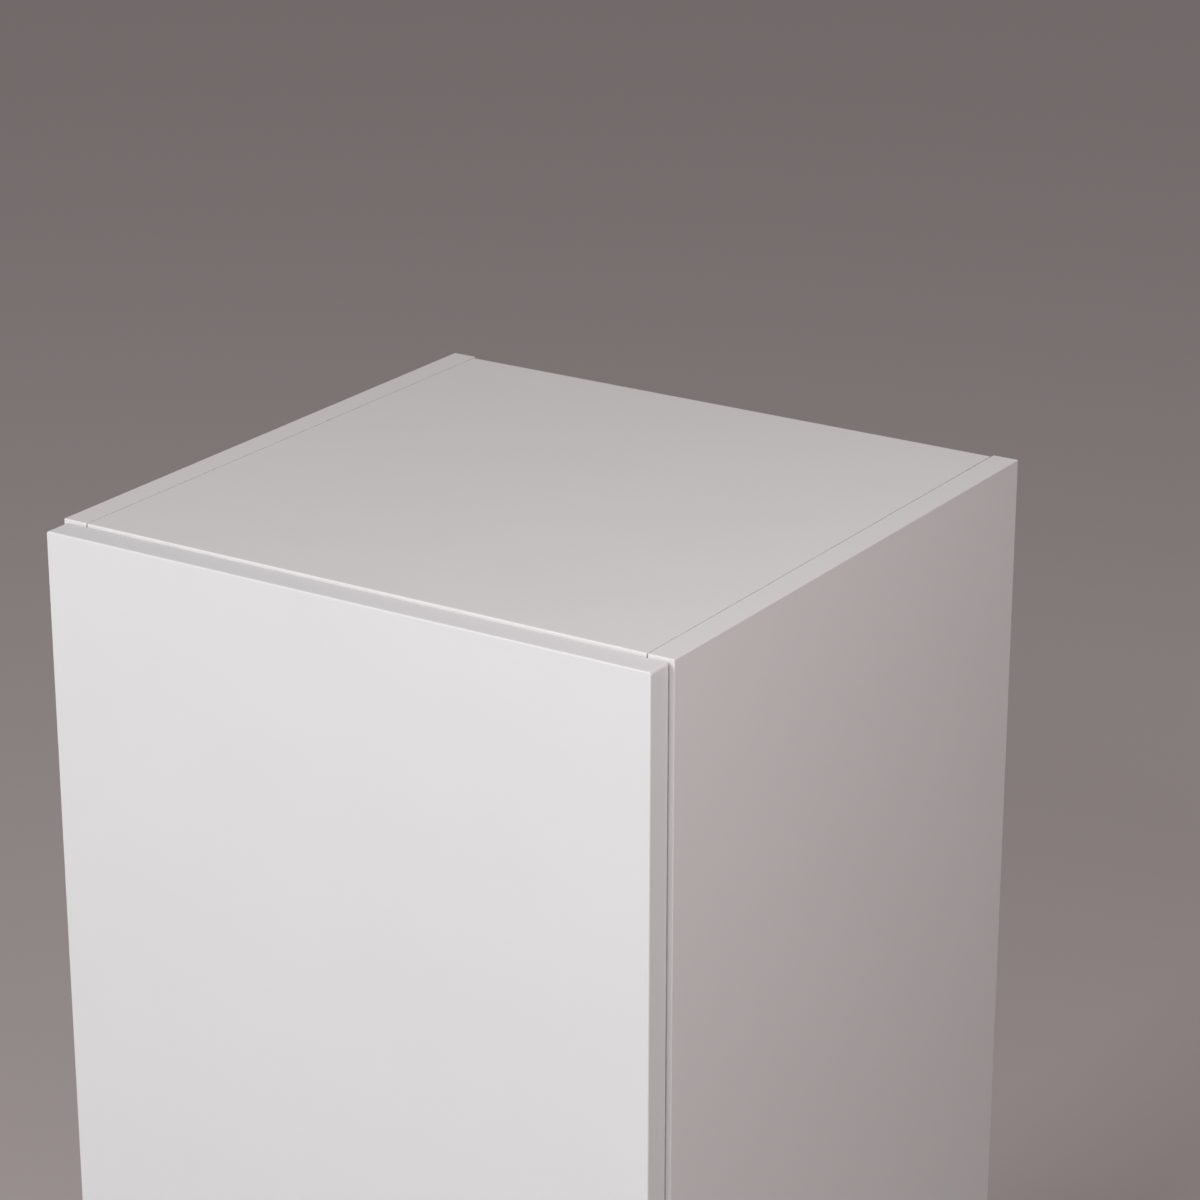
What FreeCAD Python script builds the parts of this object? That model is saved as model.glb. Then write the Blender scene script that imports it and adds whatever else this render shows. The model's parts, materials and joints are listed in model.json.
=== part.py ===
import FreeCAD, Part
import os

# White handleless wall cabinet with one push-to-open door, as an assembly of its separate pieces.
# Frame: X to the right, Y into the wall, Z up, in millimetres. The wall is the plane Y = 0, and the
# origin is the centre of the four wall screws. "Forward" below is towards -Y, out of the cabinet.

V = FreeCAD.Vector

# Carcass
cabinet_width = 400.0
cabinet_height = 800.0
carcass_depth = 381.5
panel_thickness = 16.0
panel_edge_radius = 0.6
panel_back_setback = 3.0
joint_gap = 0.8
joint_gap_depth = 2.0
joint_edge_radius = 0.3
back_thickness = 3.0
back_setback = 18.0
groove_depth = 8.0
groove_side_clearance = 0.2
groove_end_clearance = 0.5

# Door
door_thickness = 17.0
door_gap = 1.5
door_side_reveal = 2.7
door_end_reveal = 1.5
door_corner_radius = 1.8
door_edge_radius = 0.9
door_back_edge_radius = 0.4
bumper_radius = 4.0
bumper_rim_radius = 0.8
bumper_end_distance = 20.0
bumper_clearance = 0.15

# Shelves and their pins
shelf_names = ("lower", "upper")
shelf_thickness = 16.0
shelf_side_clearance = 0.75
shelf_back_clearance = 1.0
shelf_front_setback = 24.0
pin_row_inset = 50.0
pin_radius = 2.5
pin_head_reach = 9.0
pin_head_width = 10.0
pin_head_height = 8.0
pin_plate_thickness = 1.8
pin_web_thickness = 2.0
pin_corner_radius = 1.5
pin_hole_pitch = 32.0
pin_hole_steps = (-2, -1, 0, 1, 2)

# Corner joints
cam_radius = 7.5
cam_skin = 3.5
cam_end_distance = 24.0
cam_front_distance = 55.0
cam_back_distance = 110.0
cam_slot_radius = 2.2
cam_slot_depth = 2.4
cam_socket_reach = 4.5
cam_bolt_thread_radius = 2.5
cam_bolt_shank_radius = 3.0
cam_bolt_neck_radius = 2.0
cam_bolt_neck_length = 5.0
cam_bolt_head_radius = 3.3
cam_bolt_head_length = 4.0
cam_bolt_hole_radius = 3.6
cam_cover_radius = 9.0
cam_cover_thickness = 1.2
cam_cover_rim_radius = 0.6
cam_cover_stem_radius = 2.0
cam_cover_stem_length = 2.0
dowel_radius = 4.0
dowel_panel_depth = 19.0
dowel_chamfer = 1.0
dowel_offset = 32.0

# Hinges: cup in the door, cranked arm on a mounting plate, one pin
hinge_end_distance = 100.0
hinge_pin_radius = 1.25
knuckle_radius = 2.0
knuckle_half_length = 4.0
knuckle_gap = 0.3
cup_radius = 17.5
cup_edge_distance = 2.0
cup_door_skin = 3.0
cup_wall = 0.8
cup_floor = 0.7
cup_boss_reach = 3.0
flange_thickness = 1.2
flange_edge_side_reach = 4.0
flange_far_side_reach = 15.0
flange_half_length = 30.0
flange_corner_radius = 3.5
cup_screw_spacing = 45.0
cup_screw_offset = 9.5
cup_screw_radius = 1.75
cup_screw_head_radius = 3.2
cup_screw_head_height = 1.4
arm_thickness = 2.6
arm_flange_thickness = 1.6
arm_flange_depth = 4.0
arm_flange_clearance = 0.4
arm_shoulder_setback = 6.0
arm_length = 68.0
arm_corner_radius = 3.0
arm_bend_radius = 4.0
plate_height = 7.3
plate_front_setback = 22.0
plate_half_width = 6.0
plate_length = 46.0
plate_corner_radius = 2.0
wing_thickness = 2.5
wing_half_length = 25.0
wing_width = 13.0
plate_screw_setback = 37.0
plate_screw_spacing = 32.0
plate_screw_radius = 3.1
plate_screw_head_radius = 4.6
plate_screw_head_height = 2.2
clamp_screw_setback = 60.0
clamp_screw_radius = 2.0
clamp_screw_depth = 5.5
clamp_screw_head_radius = 3.8
clamp_screw_head_height = 2.4
adjusting_screw_setback = 29.0
adjusting_screw_radius = 2.0
adjusting_screw_head_radius = 3.0
adjusting_screw_head_height = 1.6

# Push-to-open latch on the right side panel, with its strike plate on the door
latch_width = 16.0
latch_height = 18.0
latch_length = 70.0
latch_setback = 2.0
latch_edge_radius = 1.2
latch_front_wall = 6.0
latch_chamber_radius = 5.4
latch_ear_reach = 11.0
latch_ear_thickness = 3.0
latch_ear_width = 14.0
latch_ear_radius = 3.0
latch_screw_radius = 1.75
latch_screw_head_radius = 3.4
latch_screw_head_height = 2.0
plunger_radius = 4.0
plunger_travel = 14.0
plunger_stop_clearance = 0.5
plunger_flange_clearance = 0.2
plunger_flange_length = 3.0
plunger_tip_clearance = 0.2
plunger_side_clearance = 0.1
magnet_radius = 2.5
magnet_length = 4.0
spring_side_clearance = 0.6
spring_wall = 1.0
end_cap_length = 4.0
strike_radius = 7.5
strike_thickness = 1.2
strike_rim_radius = 0.4
strike_screw_radius = 1.5
strike_screw_head_radius = 3.0
strike_screw_head_height = 0.8

# Hangers in the upper back corners, and the wall plates that they hook on
wall_hole_radius = 3.2
wall_hole_spacing = 32.0
wall_plate_thickness = 2.0
wall_plate_width = 50.0
wall_plate_margin = 12.0
wall_plate_side_clearance = 2.0
lip_offset = 5.0
lip_height = 12.0
wall_plate_corner_radius = 4.0
hanger_width = 20.0
hanger_depth = 45.0
hanger_height = 64.0
hanger_wall = 2.5
hanger_corner_radius = 1.5
hanger_top_gap = 4.0
peg_radius = 5.0
peg_spacing = 32.0
hook_side_clearance = 1.5
hook_thickness = 4.0
hook_nose_thickness = 2.5
hook_nose_gap = 3.0
hook_tail_thickness = 6.0
hook_tail_gap = 8.0
hook_tail_end_gap = 13.0
hook_opening_clearance = 2.0
depth_screw_drop = 8.0
height_screw_end_distance = 8.0
hanger_screw_radius = 3.0
hanger_screw_head_radius = 4.6
hanger_screw_head_height = 3.0
hanger_hole_clearance = 0.2
cover_wall = 1.5
cover_edge_radius = 1.2
cover_clearance = 0.2
cover_front_space = 5.0
cover_overlap = 14.0

# Shared values
screw_skin = 5.0
fit_clearance = 0.05
seat_clearance = 0.1
overrun = 1.0
screw_rim_share = 0.4
recess_reach_share = 0.6
recess_width_share = 0.13
recess_depth_share = 0.6
parallel_share = 0.001
along_x = V(1, 0, 0)
along_y = V(0, 1, 0)
along_z = V(0, 0, 1)

# Places worked out from the sizes above
side_bite = panel_thickness - screw_skin
door_bite = door_thickness - screw_skin
half_width = cabinet_width / 2
inner_half = half_width - panel_thickness
lip_top_z = wall_hole_spacing / 2 + wall_plate_margin + lip_height / 2
hanger_top_z = lip_top_z + hook_thickness + hanger_wall
roof_z = hanger_top_z + hanger_top_gap
top_z = roof_z + panel_thickness
bottom_z = top_z - cabinet_height
floor_z = bottom_z + panel_thickness
front_y = -carcass_depth
back_rear_y = -back_setback
back_front_y = back_rear_y - back_thickness
door_back_y = front_y - door_gap
door_front_y = door_back_y - door_thickness
door_half_width = half_width - door_side_reveal
door_top_z = top_z - door_end_reveal
door_bottom_z = bottom_z + door_end_reveal
door_middle_z = (door_top_z + door_bottom_z) / 2
hinge_side_x = -inner_half
door_edge_x = -door_half_width
cam_height = panel_thickness - cam_skin
cup_x = door_edge_x + cup_edge_distance + cup_radius
cup_bore_depth = door_thickness - cup_door_skin
cup_depth = cup_bore_depth - seat_clearance
cavity_depth = cup_depth - cup_floor
cavity_radius = cup_radius - cup_wall
knuckle_room = knuckle_radius + knuckle_gap
pivot_x = cup_x - (cavity_radius**2 - knuckle_half_length**2) ** 0.5 + knuckle_room
pivot_y = door_back_y - cavity_depth + knuckle_room
arm_x = hinge_side_x + plate_height
arm_flange_inside = plate_half_width + arm_flange_clearance
arm_half_width = arm_flange_inside + arm_flange_thickness
plate_screw_y = front_y + plate_screw_setback
hinge_heights = {
    "upper": door_top_z - hinge_end_distance,
    "lower": door_bottom_z + hinge_end_distance,
}
sides = {"left": -1, "right": 1}
cam_rows = (
    (front_y + cam_front_distance, 1),
    (-cam_back_distance, -1),
)
panel_levels = {"top": (roof_z, 1), "bottom": (floor_z, -1)}
shelf_space = (roof_z - floor_z - len(shelf_names) * shelf_thickness) / (len(shelf_names) + 1)
shelf_seats = {
    name: floor_z + shelf_space + place * (shelf_space + shelf_thickness)
    for place, name in enumerate(shelf_names)
}
pin_rows = (front_y + pin_row_inset, back_front_y - pin_row_inset)
latch_x = inner_half - latch_width / 2
latch_front_y = front_y + latch_setback
latch_back_y = latch_front_y + latch_length
latch_ear_y = (latch_front_y + latch_back_y) / 2
latch_screw_reach = latch_height / 2 + latch_ear_reach / 2
strike_face_y = door_back_y + strike_thickness
plunger_tip_y = strike_face_y + plunger_tip_clearance
plunger_stop_y = latch_front_y + latch_front_wall + plunger_travel + plunger_stop_clearance
plunger_end_y = plunger_stop_y + plunger_flange_length
plunger_flange_radius = latch_chamber_radius - plunger_flange_clearance
spring_radius = latch_chamber_radius - spring_side_clearance
hanger_front_y = back_front_y - hanger_depth
hanger_middle_y = back_front_y - hanger_depth / 2
hook_x = inner_half - hanger_width / 2
hook_width = hanger_width - 2 * hanger_wall - 2 * hook_side_clearance
hook_top_z = lip_top_z + hook_thickness
hook_nose_z = lip_top_z - lip_height + hook_nose_gap
hook_tail_z = hanger_top_z - hanger_height + hanger_wall + hook_tail_end_gap
hook_tail_y = hanger_front_y + hanger_wall + hook_tail_gap
hanger_screw_heights = {
    "depth": lip_top_z - depth_screw_drop,
    "height": hook_tail_z + height_screw_end_distance,
}
wall_plate_x = inner_half - wall_plate_side_clearance - wall_plate_width / 2


def around(middle, half):
    return (middle - half, middle + half)


def block(x_span, y_span, z_span):
    spans = (x_span, y_span, z_span)
    low = V(*[min(span) for span in spans])
    return Part.makeBox(*[max(span) - min(span) for span in spans], low)


def rod(start, end, radius):
    axis = end.sub(start)
    return Part.makeCylinder(radius, axis.Length, start, axis)


def join(shapes):
    return shapes[0].multiFuse(shapes[1:]).removeSplitter()


def ease(shape, radius):
    return shape.makeFillet(radius, shape.Edges)


def runs_along(edge, direction):
    span = edge.Vertexes[-1].Point.sub(edge.Vertexes[0].Point)
    return 0 < span.Length and span.cross(direction).Length < span.Length * parallel_share


def ease_along(shape, direction, radius):
    # rounds the straight edges of a block that run along one direction
    return shape.makeFillet(radius, [edge for edge in shape.Edges if runs_along(edge, direction)])


def ease_face(shape, direction, place, radius):
    # rounds every edge that lies in one plane across a direction
    def in_plane(edge):
        return all(abs(vertex.Point.dot(direction) - place) < fit_clearance for vertex in edge.Vertexes)

    return shape.makeFillet(radius, [edge for edge in shape.Edges if in_plane(edge)])


def ease_rim(body, centre, radius):
    # rounds the end of a rod at the given centre
    def is_rim(edge):
        return len(edge.Vertexes) == 1 and edge.CenterOfMass.distanceToPoint(centre) < fit_clearance

    return body.makeFillet(radius, [edge for edge in body.Edges if is_rim(edge)])


def screw(seat, direction, head_radius, head_height, shank_radius, shank_length):
    # a pan-headed screw with a cross recess, level or upright; the head stands on the seat
    top = seat.sub(direction * head_height)
    head = ease_rim(rod(top, seat, head_radius), top, head_height * screw_rim_share)
    shank = rod(seat, seat.add(direction * shank_length), shank_radius)
    recess_end = top.add(direction * (head_height * recess_depth_share))
    reach = head_radius * recess_reach_share
    half_width = head_radius * recess_width_share
    sideways = direction.cross(along_z)
    slots = []
    for upward, across in ((reach, half_width), (half_width, reach)):
        corner = along_z * upward + sideways * across
        low = top.sub(direction * overrun).sub(corner)
        high = recess_end.add(corner)
        slots.append(block((low.x, high.x), (low.y, high.y), (low.z, high.z)))
    return join([head, shank]).cut(slots)


def save(node, pieces):
    solids = [solid for piece in pieces for solid in piece.Solids]
    shape = solids[0] if len(solids) == 1 else Part.makeCompound(solids)
    shape.exportStep(f"parts/{node}.step")


# Corner joints: where each cam, bolt and dowel sits
def corner_joints():
    for side in sides.values():
        for face_z, outward in panel_levels.values():
            middle_z = face_z + outward * panel_thickness / 2
            for row_y, inward in cam_rows:
                yield side, face_z, outward, middle_z, row_y, row_y + inward * dowel_offset


def cam_lock(side, face_z, outward, middle_z, row_y):
    x = side * (inner_half - cam_end_distance)
    face = V(x, row_y, face_z)
    up = along_z * outward
    body = rod(face, face.add(up * cam_height), cam_radius - fit_clearance)
    slot = rod(face, face.add(up * cam_slot_depth), cam_slot_radius)
    socket_start = V(x - side * cam_socket_reach, row_y, middle_z)
    socket_end = V(x + side * (cam_radius + overrun), row_y, middle_z)
    return body.cut([slot, rod(socket_start, socket_end, cam_bolt_hole_radius)])


def cam_cover(side, face_z, outward, row_y):
    x = side * (inner_half - cam_end_distance)
    face = V(x, row_y, face_z)
    up = along_z * outward
    shown = face.sub(up * cam_cover_thickness)
    disc = ease_rim(rod(shown, face, cam_cover_radius), shown, cam_cover_rim_radius)
    stem = rod(face, face.add(up * cam_cover_stem_length), cam_cover_stem_radius)
    return join([disc, stem])


def cam_bolt(side, middle_z, row_y):
    def at(distance):
        return V(side * (inner_half - distance), row_y, middle_z)

    head_start = cam_end_distance - cam_bolt_head_length / 2
    neck_start = head_start - cam_bolt_neck_length
    return join(
        [
            rod(at(-side_bite), at(0), cam_bolt_thread_radius),
            rod(at(0), at(neck_start), cam_bolt_shank_radius),
            rod(at(neck_start), at(head_start), cam_bolt_neck_radius),
            rod(at(head_start), at(head_start + cam_bolt_head_length), cam_bolt_head_radius),
        ]
    )


def dowel(side, middle_z, dowel_y):
    start = V(side * (inner_half + side_bite), dowel_y, middle_z)
    end = V(side * (inner_half - dowel_panel_depth), dowel_y, middle_z)
    body = rod(start, end, dowel_radius)
    rims = [edge for edge in body.Edges if len(edge.Vertexes) == 1]
    return body.makeChamfer(dowel_chamfer, rims)


# Carcass
def side_bores(side):
    # blind holes in one side panel's inner face
    def bore(y, z, radius):
        start = V(side * (inner_half - overrun), y, z)
        end = V(side * (inner_half + side_bite + seat_clearance), y, z)
        return rod(start, end, radius + fit_clearance)

    bores = []
    for joint_side, _, _, middle_z, row_y, dowel_y in corner_joints():
        if joint_side == side:
            bores.append(bore(row_y, middle_z, cam_bolt_thread_radius))
            bores.append(bore(dowel_y, middle_z, dowel_radius))
    for seat_z in shelf_seats.values():
        for row_y in pin_rows:
            for step in pin_hole_steps:
                z = seat_z - pin_head_height / 2 + step * pin_hole_pitch
                bores.append(bore(row_y, z, pin_radius))
    for z in around(hanger_top_z - hanger_height / 2, peg_spacing / 2):
        bores.append(bore(hanger_middle_y, z, peg_radius))
    if side == sides["left"]:
        for hinge_z in hinge_heights.values():
            for z in around(hinge_z, plate_screw_spacing / 2):
                bores.append(bore(plate_screw_y, z, plate_screw_radius))
    else:
        for z in around(door_middle_z, latch_screw_reach):
            bores.append(bore(latch_ear_y, z, latch_screw_radius))
    return bores


def back_groove_y():
    return (back_front_y - groove_side_clearance, back_rear_y + groove_side_clearance)


def side_panel(side):
    x_span = (side * inner_half, side * half_width)
    panel = block(x_span, (front_y, 0), (bottom_z, top_z))
    panel = ease_along(panel, along_x, panel_edge_radius)
    panel = ease_face(panel, along_x, side * half_width, panel_edge_radius)
    panel = ease_face(panel, along_x, side * inner_half, joint_edge_radius)
    groove = block(
        (side * (inner_half - overrun), side * (inner_half + groove_depth)),
        back_groove_y(),
        (floor_z - groove_depth, roof_z + groove_depth),
    )
    return panel.cut([groove] + side_bores(side))


def cross_panel(face_z, outward):
    # the top or the bottom, set between the side panels; its outer faces stop a hair short of them
    outer_z = face_z + outward * panel_thickness
    ends = around(0, inner_half - joint_gap)
    faces = block(ends, (front_y, -panel_back_setback), (face_z, outer_z))
    faces = ease_along(faces, along_x, panel_edge_radius)
    for end in ends:
        faces = ease_face(faces, along_x, end, joint_edge_radius)
    core = block(
        around(0, inner_half),
        (front_y + joint_gap_depth, -panel_back_setback),
        (face_z, outer_z - outward * joint_gap_depth),
    )
    panel = join([faces, core])
    groove_z = (face_z - outward * overrun, face_z + outward * groove_depth)
    tools = [block(around(0, inner_half + overrun), back_groove_y(), groove_z)]
    for side, joint_face_z, _, middle_z, row_y, dowel_y in corner_joints():
        if joint_face_z != face_z:
            continue
        cam_x = side * (inner_half - cam_end_distance)
        cam_bore_start = V(cam_x, row_y, face_z - outward * overrun)
        cam_bore_end = V(cam_x, row_y, face_z + outward * (cam_height + seat_clearance))
        tools.append(rod(cam_bore_start, cam_bore_end, cam_radius))
        end_x = side * (inner_half + overrun)
        tools.append(rod(V(end_x, row_y, middle_z), V(cam_x, row_y, middle_z), cam_bolt_hole_radius))
        dowel_x = side * (inner_half - dowel_panel_depth - seat_clearance)
        dowel_hole_radius = dowel_radius + fit_clearance
        tools.append(rod(V(end_x, dowel_y, middle_z), V(dowel_x, dowel_y, middle_z), dowel_hole_radius))
    return panel.cut(tools)


def back_panel():
    reach = groove_depth - groove_end_clearance
    panel = block(
        around(0, inner_half + reach),
        (back_front_y, back_rear_y),
        (floor_z - reach, roof_z + reach),
    )
    windows = []
    for side in sides.values():
        x_span = around(side * hook_x, hook_width / 2 + hook_opening_clearance)
        low_z = hook_nose_z - hook_opening_clearance
        high_z = hook_top_z + hook_opening_clearance
        y_span = (back_front_y - overrun, back_rear_y + overrun)
        windows.append(block(x_span, y_span, (low_z, high_z)))
    return panel.cut(windows)


# Shelves
def shelf(seat_z):
    panel = block(
        around(0, inner_half - shelf_side_clearance),
        (front_y + shelf_front_setback, back_front_y - shelf_back_clearance),
        (seat_z, seat_z + shelf_thickness),
    )
    return ease(panel, panel_edge_radius)


def shelf_pin(side, row_y, seat_z):
    # a small bracket: plate on the side panel, tongue under the shelf, web between them, peg
    wall_x = side * inner_half
    plate_x = side * (inner_half - pin_plate_thickness)
    tip_x = side * (inner_half - pin_head_reach)
    y_span = around(row_y, pin_head_width / 2)
    low_z = seat_z - pin_head_height
    plate = block((wall_x, plate_x), y_span, (low_z, seat_z))
    tongue = block((wall_x, tip_x), y_span, (seat_z - pin_plate_thickness, seat_z))
    tongue = ease_along(tongue, along_z, pin_corner_radius)
    web_y = row_y - pin_web_thickness / 2
    corners = [V(wall_x, web_y, low_z), V(tip_x, web_y, seat_z), V(wall_x, web_y, seat_z)]
    web = Part.Face(Part.makePolygon(corners + corners[:1])).extrude(along_y * pin_web_thickness)
    peg_z = seat_z - pin_head_height / 2
    peg = rod(V(wall_x, row_y, peg_z), V(side * (inner_half + side_bite), row_y, peg_z), pin_radius)
    return join([plate, tongue, web, peg])


# Door
def cup_screw_places(hinge_z):
    x = cup_x + cup_screw_offset
    return [V(x, door_back_y, z) for z in around(hinge_z, cup_screw_spacing / 2)]


def door_bore(start, radius, depth):
    outside = start.add(along_y * overrun)
    return rod(outside, start.sub(along_y * depth), radius)


def door_panel():
    panel = block(
        around(0, door_half_width),
        (door_front_y, door_back_y),
        (door_bottom_z, door_top_z),
    )
    panel = ease_along(panel, along_y, door_corner_radius)
    panel = ease_face(panel, along_y, door_front_y, door_edge_radius)
    panel = ease_face(panel, along_y, door_back_y, door_back_edge_radius)
    bores = []
    screw_depth = door_bite + seat_clearance
    for hinge_z in hinge_heights.values():
        bores.append(door_bore(V(cup_x, door_back_y, hinge_z), cup_radius, cup_bore_depth))
        for place in cup_screw_places(hinge_z):
            bores.append(door_bore(place, cup_screw_radius + fit_clearance, screw_depth))
    strike_place = V(latch_x, door_back_y, door_middle_z)
    bores.append(door_bore(strike_place, strike_screw_radius + fit_clearance, screw_depth))
    return panel.cut(bores)


def door_bumper(z):
    start = V(half_width - panel_thickness / 2, door_back_y, z)
    end = start.add(along_y * (door_gap - bumper_clearance))
    return ease_rim(rod(start, end, bumper_radius), end, bumper_rim_radius)


# Hinges
def hinge_cup(hinge_z):
    mouth = V(cup_x, door_back_y, hinge_z)
    outer = rod(mouth, mouth.sub(along_y * cup_depth), cup_radius - fit_clearance)
    flange = block(
        (cup_x - flange_edge_side_reach, cup_x + flange_far_side_reach),
        (door_back_y, door_back_y + flange_thickness),
        around(hinge_z, flange_half_length),
    )
    flange = ease_along(flange, along_y, flange_corner_radius)
    cavity_start = mouth.add(along_y * (flange_thickness + overrun))
    cavity = rod(cavity_start, mouth.sub(along_y * cavity_depth), cavity_radius)
    shell = join([outer, flange]).cut(cavity)
    bosses = []
    for side in sides.values():
        near_z = hinge_z + side * (knuckle_half_length + knuckle_gap)
        boss = block(
            (door_edge_x, pivot_x + cup_boss_reach),
            (pivot_y + cup_boss_reach, door_back_y - cup_depth),
            (near_z, hinge_z + side * cup_radius),
        )
        bosses.append(boss.common(outer))
    shell = join([shell] + bosses)
    pin_hole = rod(
        V(pivot_x, pivot_y, hinge_z - cup_radius),
        V(pivot_x, pivot_y, hinge_z + cup_radius),
        hinge_pin_radius + fit_clearance,
    )
    holes = [pin_hole]
    for place in cup_screw_places(hinge_z):
        top = place.add(along_y * (flange_thickness + overrun))
        holes.append(rod(top, place.sub(along_y * overrun), cup_screw_radius + fit_clearance))
    return shell.cut(holes)


def hinge_pin(hinge_z):
    # its ends stop inside the cup's wall
    far_side = cup_x - pivot_x + hinge_pin_radius
    half = ((cup_radius - cup_wall / 2) ** 2 - far_side**2) ** 0.5
    return rod(V(pivot_x, pivot_y, hinge_z - half), V(pivot_x, pivot_y, hinge_z + half), hinge_pin_radius)


def hinge_arm(hinge_z):
    # a cranked strip: knuckle, neck across the cup, leg back into the cabinet, and a wide foot whose
    # flanges go down past the plate
    neck_front_y = pivot_y - knuckle_radius
    neck_back_y = neck_front_y + arm_thickness
    outer_x = arm_x + arm_thickness
    shoulder_y = front_y + arm_shoulder_setback
    narrow = around(hinge_z, knuckle_half_length)
    neck = block((pivot_x, outer_x), (neck_front_y, neck_back_y), narrow)
    leg = block((arm_x, outer_x), (neck_front_y, shoulder_y), narrow)
    foot_span = (shoulder_y, front_y + arm_length)
    foot = block((arm_x, outer_x), foot_span, around(hinge_z, arm_half_width))
    foot = ease_along(foot, along_x, arm_corner_radius)
    flange_y = (foot_span[0] + arm_corner_radius, foot_span[1] - arm_corner_radius)
    flanges = [
        block(
            (arm_x - arm_flange_depth, outer_x),
            flange_y,
            (hinge_z + side * arm_flange_inside, hinge_z + side * arm_half_width),
        )
        for side in sides.values()
    ]
    strip = join([neck, leg])
    bend = [
        edge
        for edge in strip.Edges
        if all(vertex.Point.x > outer_x - fit_clearance for vertex in edge.Vertexes)
        and all(vertex.Point.y < neck_front_y + fit_clearance for vertex in edge.Vertexes)
    ]
    strip = strip.makeFillet(arm_bend_radius, bend)
    knuckle = rod(V(pivot_x, pivot_y, narrow[0]), V(pivot_x, pivot_y, narrow[1]), knuckle_radius)
    pin_bore = rod(
        V(pivot_x, pivot_y, narrow[0] - overrun),
        V(pivot_x, pivot_y, narrow[1] + overrun),
        hinge_pin_radius + fit_clearance,
    )
    holes = [pin_bore]
    for setback, radius in (
        (clamp_screw_setback, clamp_screw_radius),
        (adjusting_screw_setback, adjusting_screw_radius),
    ):
        start = V(arm_x - overrun, front_y + setback, hinge_z)
        end = V(outer_x + overrun, front_y + setback, hinge_z)
        holes.append(rod(start, end, radius + fit_clearance))
    return join([strip, foot, knuckle] + flanges).cut(holes)


def hinge_plate(hinge_z):
    # a block under the arm, with two wings that take the screws
    plate_y = (front_y + plate_front_setback, front_y + plate_front_setback + plate_length)
    body = block((hinge_side_x, arm_x), plate_y, around(hinge_z, plate_half_width))
    body = ease_along(body, along_x, plate_corner_radius)
    wings = block(
        (hinge_side_x, hinge_side_x + wing_thickness),
        around(plate_screw_y, wing_width / 2),
        around(hinge_z, wing_half_length),
    )
    wings = ease_along(wings, along_x, plate_corner_radius)
    holes = []
    for z in around(hinge_z, plate_screw_spacing / 2):
        start = V(hinge_side_x - overrun, plate_screw_y, z)
        end = V(hinge_side_x + wing_thickness + overrun, plate_screw_y, z)
        holes.append(rod(start, end, plate_screw_radius + fit_clearance))
    clamp_y = front_y + clamp_screw_setback
    clamp_end = V(arm_x - clamp_screw_depth - seat_clearance, clamp_y, hinge_z)
    clamp_start = V(arm_x + overrun, clamp_y, hinge_z)
    holes.append(rod(clamp_start, clamp_end, clamp_screw_radius + fit_clearance))
    return join([body, wings]).cut(holes)


def plate_screw(hinge_z, z_side):
    z = hinge_z + z_side * plate_screw_spacing / 2
    seat = V(hinge_side_x + wing_thickness, plate_screw_y, z)
    head = (plate_screw_head_radius, plate_screw_head_height)
    return screw(seat, -along_x, *head, plate_screw_radius, wing_thickness + side_bite)


def clamp_screw(hinge_z):
    seat = V(arm_x + arm_thickness, front_y + clamp_screw_setback, hinge_z)
    head = (clamp_screw_head_radius, clamp_screw_head_height)
    return screw(seat, -along_x, *head, clamp_screw_radius, arm_thickness + clamp_screw_depth)


def adjusting_screw(hinge_z):
    seat = V(arm_x + arm_thickness, front_y + adjusting_screw_setback, hinge_z)
    head = (adjusting_screw_head_radius, adjusting_screw_head_height)
    return screw(seat, -along_x, *head, adjusting_screw_radius, arm_thickness)


def cup_screw(place):
    seat = place.add(along_y * flange_thickness)
    head = (cup_screw_head_radius, cup_screw_head_height)
    return screw(seat, -along_y, *head, cup_screw_radius, flange_thickness + door_bite)


# Push-to-open latch
def latch_axis(y):
    return V(latch_x, y, door_middle_z)


def latch_body():
    z_span = around(door_middle_z, latch_height / 2)
    body = block((inner_half - latch_width, inner_half), (latch_front_y, latch_back_y), z_span)
    body = ease(body, latch_edge_radius)
    ears = block(
        (inner_half - latch_ear_thickness, inner_half),
        around(latch_ear_y, latch_ear_width / 2),
        around(door_middle_z, latch_height / 2 + latch_ear_reach),
    )
    ears = ease_along(ears, along_x, latch_ear_radius)
    chamber_start = latch_front_y + latch_front_wall
    tools = [
        rod(latch_axis(chamber_start), latch_axis(latch_back_y + overrun), latch_chamber_radius),
        rod(
            latch_axis(latch_front_y - overrun),
            latch_axis(chamber_start + overrun),
            plunger_radius + plunger_side_clearance,
        ),
    ]
    for z in around(door_middle_z, latch_screw_reach):
        start = V(inner_half - latch_ear_thickness - overrun, latch_ear_y, z)
        end = V(inner_half + overrun, latch_ear_y, z)
        tools.append(rod(start, end, latch_screw_radius + fit_clearance))
    return join([body, ears]).cut(tools)


def latch_plunger():
    stem = rod(latch_axis(plunger_tip_y), latch_axis(plunger_end_y), plunger_radius)
    flange = rod(latch_axis(plunger_stop_y), latch_axis(plunger_end_y), plunger_flange_radius)
    magnet_seat = rod(
        latch_axis(plunger_tip_y),
        latch_axis(plunger_tip_y + magnet_length),
        magnet_radius + fit_clearance,
    )
    return join([stem, flange]).cut(magnet_seat)


def latch_magnet():
    return rod(latch_axis(plunger_tip_y), latch_axis(plunger_tip_y + magnet_length), magnet_radius)


def latch_spring():
    start = latch_axis(plunger_end_y)
    end = latch_axis(latch_back_y - end_cap_length)
    return rod(start, end, spring_radius).cut(rod(start, end, spring_radius - spring_wall))


def latch_end_cap():
    start = latch_axis(latch_back_y - end_cap_length)
    return rod(start, latch_axis(latch_back_y), latch_chamber_radius - fit_clearance)


def latch_screw(z):
    seat = V(inner_half - latch_ear_thickness, latch_ear_y, z)
    head = (latch_screw_head_radius, latch_screw_head_height)
    return screw(seat, along_x, *head, latch_screw_radius, latch_ear_thickness + side_bite)


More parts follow.
